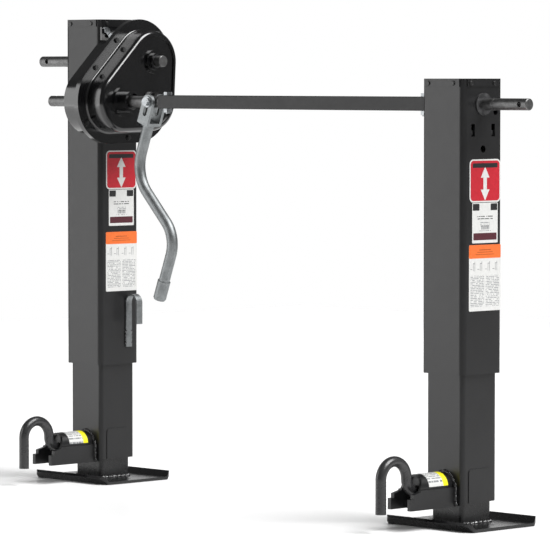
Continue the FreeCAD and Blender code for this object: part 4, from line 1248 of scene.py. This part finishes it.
@dataclass
class Studio:
    """A plain pale floor, soft panels of light and the camera."""

    PANELS = (
        SoftPanel("key_left", -44.0, 10.0, 4.2, (2.8, 3.4), 78.0),
        SoftPanel("fill_right", 132.0, 14.0, 4.6, (2.6, 3.0), 1.5),
        SoftPanel("back_low", 226.0, 8.0, 5.0, (5.0, 1.4), 24.0),
    )

    finishes: Finishes
    azimuth: float = math.radians(45.91)
    distance: float = 7.4
    height: float = 0.80
    pitch: float = math.radians(2.90)
    yaw: float = math.radians(-0.04)
    aim: tuple[float, float] = (0.525, -0.04)
    lens_mm: float = 258.2
    sensor_mm: float = 36.0
    light_aim_z: float = 0.45
    surround: float = 0.12
    floor_size: float = 9.0
    floor_cuts: int = 4
    sky: Overhead = Overhead()

    def build(self) -> None:
        """Builds the floor, the lights, the world and the camera."""
        self.build_floor()
        self.build_world()
        for panel in self.PANELS:
            self.add_panel(panel)
        self.add_overhead()
        self.build_camera()

    def build_floor(self) -> None:
        """Adds the pale floor, cut into smaller faces."""
        deselect()
        bpy.ops.mesh.primitive_plane_add(size=self.floor_size, location=(*self.aim, 0.0))
        floor = settle(bpy.context.active_object)
        floor.name = "studio_floor"
        bpy.ops.object.mode_set(mode="EDIT")
        bpy.ops.mesh.select_all(action="SELECT")
        bpy.ops.mesh.subdivide(number_cuts=self.floor_cuts)
        bpy.ops.object.mode_set(mode="OBJECT")
        self.finishes.dress(floor, "pale_floor_paint")

    def build_world(self) -> None:
        """A white surround for the eye and a dimmer one for the light it gives."""
        world = bpy.data.worlds.new("studio")
        bpy.context.scene.world = world
        world.use_nodes = True
        tree = world.node_tree
        tree.nodes.clear()
        white = linear("#ffffff")
        seen = add_node(tree, "ShaderNodeBackground", {"Color": white, "Strength": 1.0})
        given = add_node(tree, "ShaderNodeBackground", {"Color": white, "Strength": self.surround})
        path = add_node(tree, "ShaderNodeLightPath")
        mix = add_node(
            tree,
            "ShaderNodeMixShader",
            links={0: path.outputs["Is Camera Ray"], 1: given.outputs[0], 2: seen.outputs[0]},
        )
        add_node(tree, "ShaderNodeOutputWorld", links={"Surface": mix.outputs[0]})

    @staticmethod
    def outward(azimuth: float, elevation: float) -> Vector:
        """The direction that an azimuth and an elevation stand for.

        Args:
            azimuth: Degrees round from -Y towards +X.
            elevation: Degrees above level.

        Returns:
            A vector of length 1, from the object outwards.
        """
        turn, rise = math.radians(azimuth), math.radians(elevation)
        level = math.cos(rise)
        return Vector((math.sin(turn) * level, -math.cos(turn) * level, math.sin(rise)))

    @staticmethod
    def hang(data: bpy.types.Light, out: Vector, place: Vector) -> None:
        """Puts a light in the scene, looking back along a direction.

        Args:
            data: The light.
            out: The direction from the object to the light.
            place: Where the light stands.
        """
        light = bpy.data.objects.new(data.name, data)
        light.location = place
        light.rotation_euler = (-out).to_track_quat("-Z", "Y").to_euler()
        bpy.context.scene.collection.objects.link(light)

    def add_panel(self, panel: SoftPanel) -> None:
        """Adds one of the soft lights.

        Args:
            panel: The light's values.
        """
        out = self.outward(panel.azimuth, panel.elevation)
        data = bpy.data.lights.new(panel.name, "AREA")
        data.shape = "RECTANGLE"
        data.size, data.size_y = panel.size
        data.energy = panel.power
        middle = Vector((*self.aim, self.light_aim_z))
        self.hang(data, out, middle + out * panel.distance)

    def add_overhead(self) -> None:
        """Adds the light from above."""
        data = bpy.data.lights.new("overhead", "SUN")
        data.energy = self.sky.strength
        data.angle = math.radians(self.sky.spread)
        self.hang(data, self.outward(self.sky.azimuth, self.sky.elevation), Vector())

    def build_camera(self) -> None:
        """Adds the camera and makes it the scene's."""
        data = bpy.data.cameras.new("camera")
        data.lens = self.lens_mm
        data.sensor_width = self.sensor_mm
        camera = bpy.data.objects.new("camera", data)
        spot = Vector((math.sin(self.azimuth), -math.cos(self.azimuth), 0.0)) * self.distance
        camera.location = Vector((*self.aim, self.height)) + spot
        heading = self.azimuth + self.yaw
        camera.rotation_euler = (math.pi / 2 - self.pitch, 0.0, heading)
        bpy.context.scene.collection.objects.link(camera)
        bpy.context.scene.camera = camera
        bpy.context.scene.view_settings.view_transform = "Standard"


def main() -> None:
    """Builds the looks around the CAD parts."""
    logging.basicConfig(level=logging.INFO, format="%(name)s: %(message)s")
    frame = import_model()
    finishes = Finishes()
    finishes.dress_frame(frame)
    for leg in Leg:
        LegDress(leg, finishes, frame).build()
        FaceLabels(leg, finishes).build()
    CrankDress(finishes).build(frame)
    Studio(finishes).build()
    deselect()


if __name__ == "__main__":
    main()
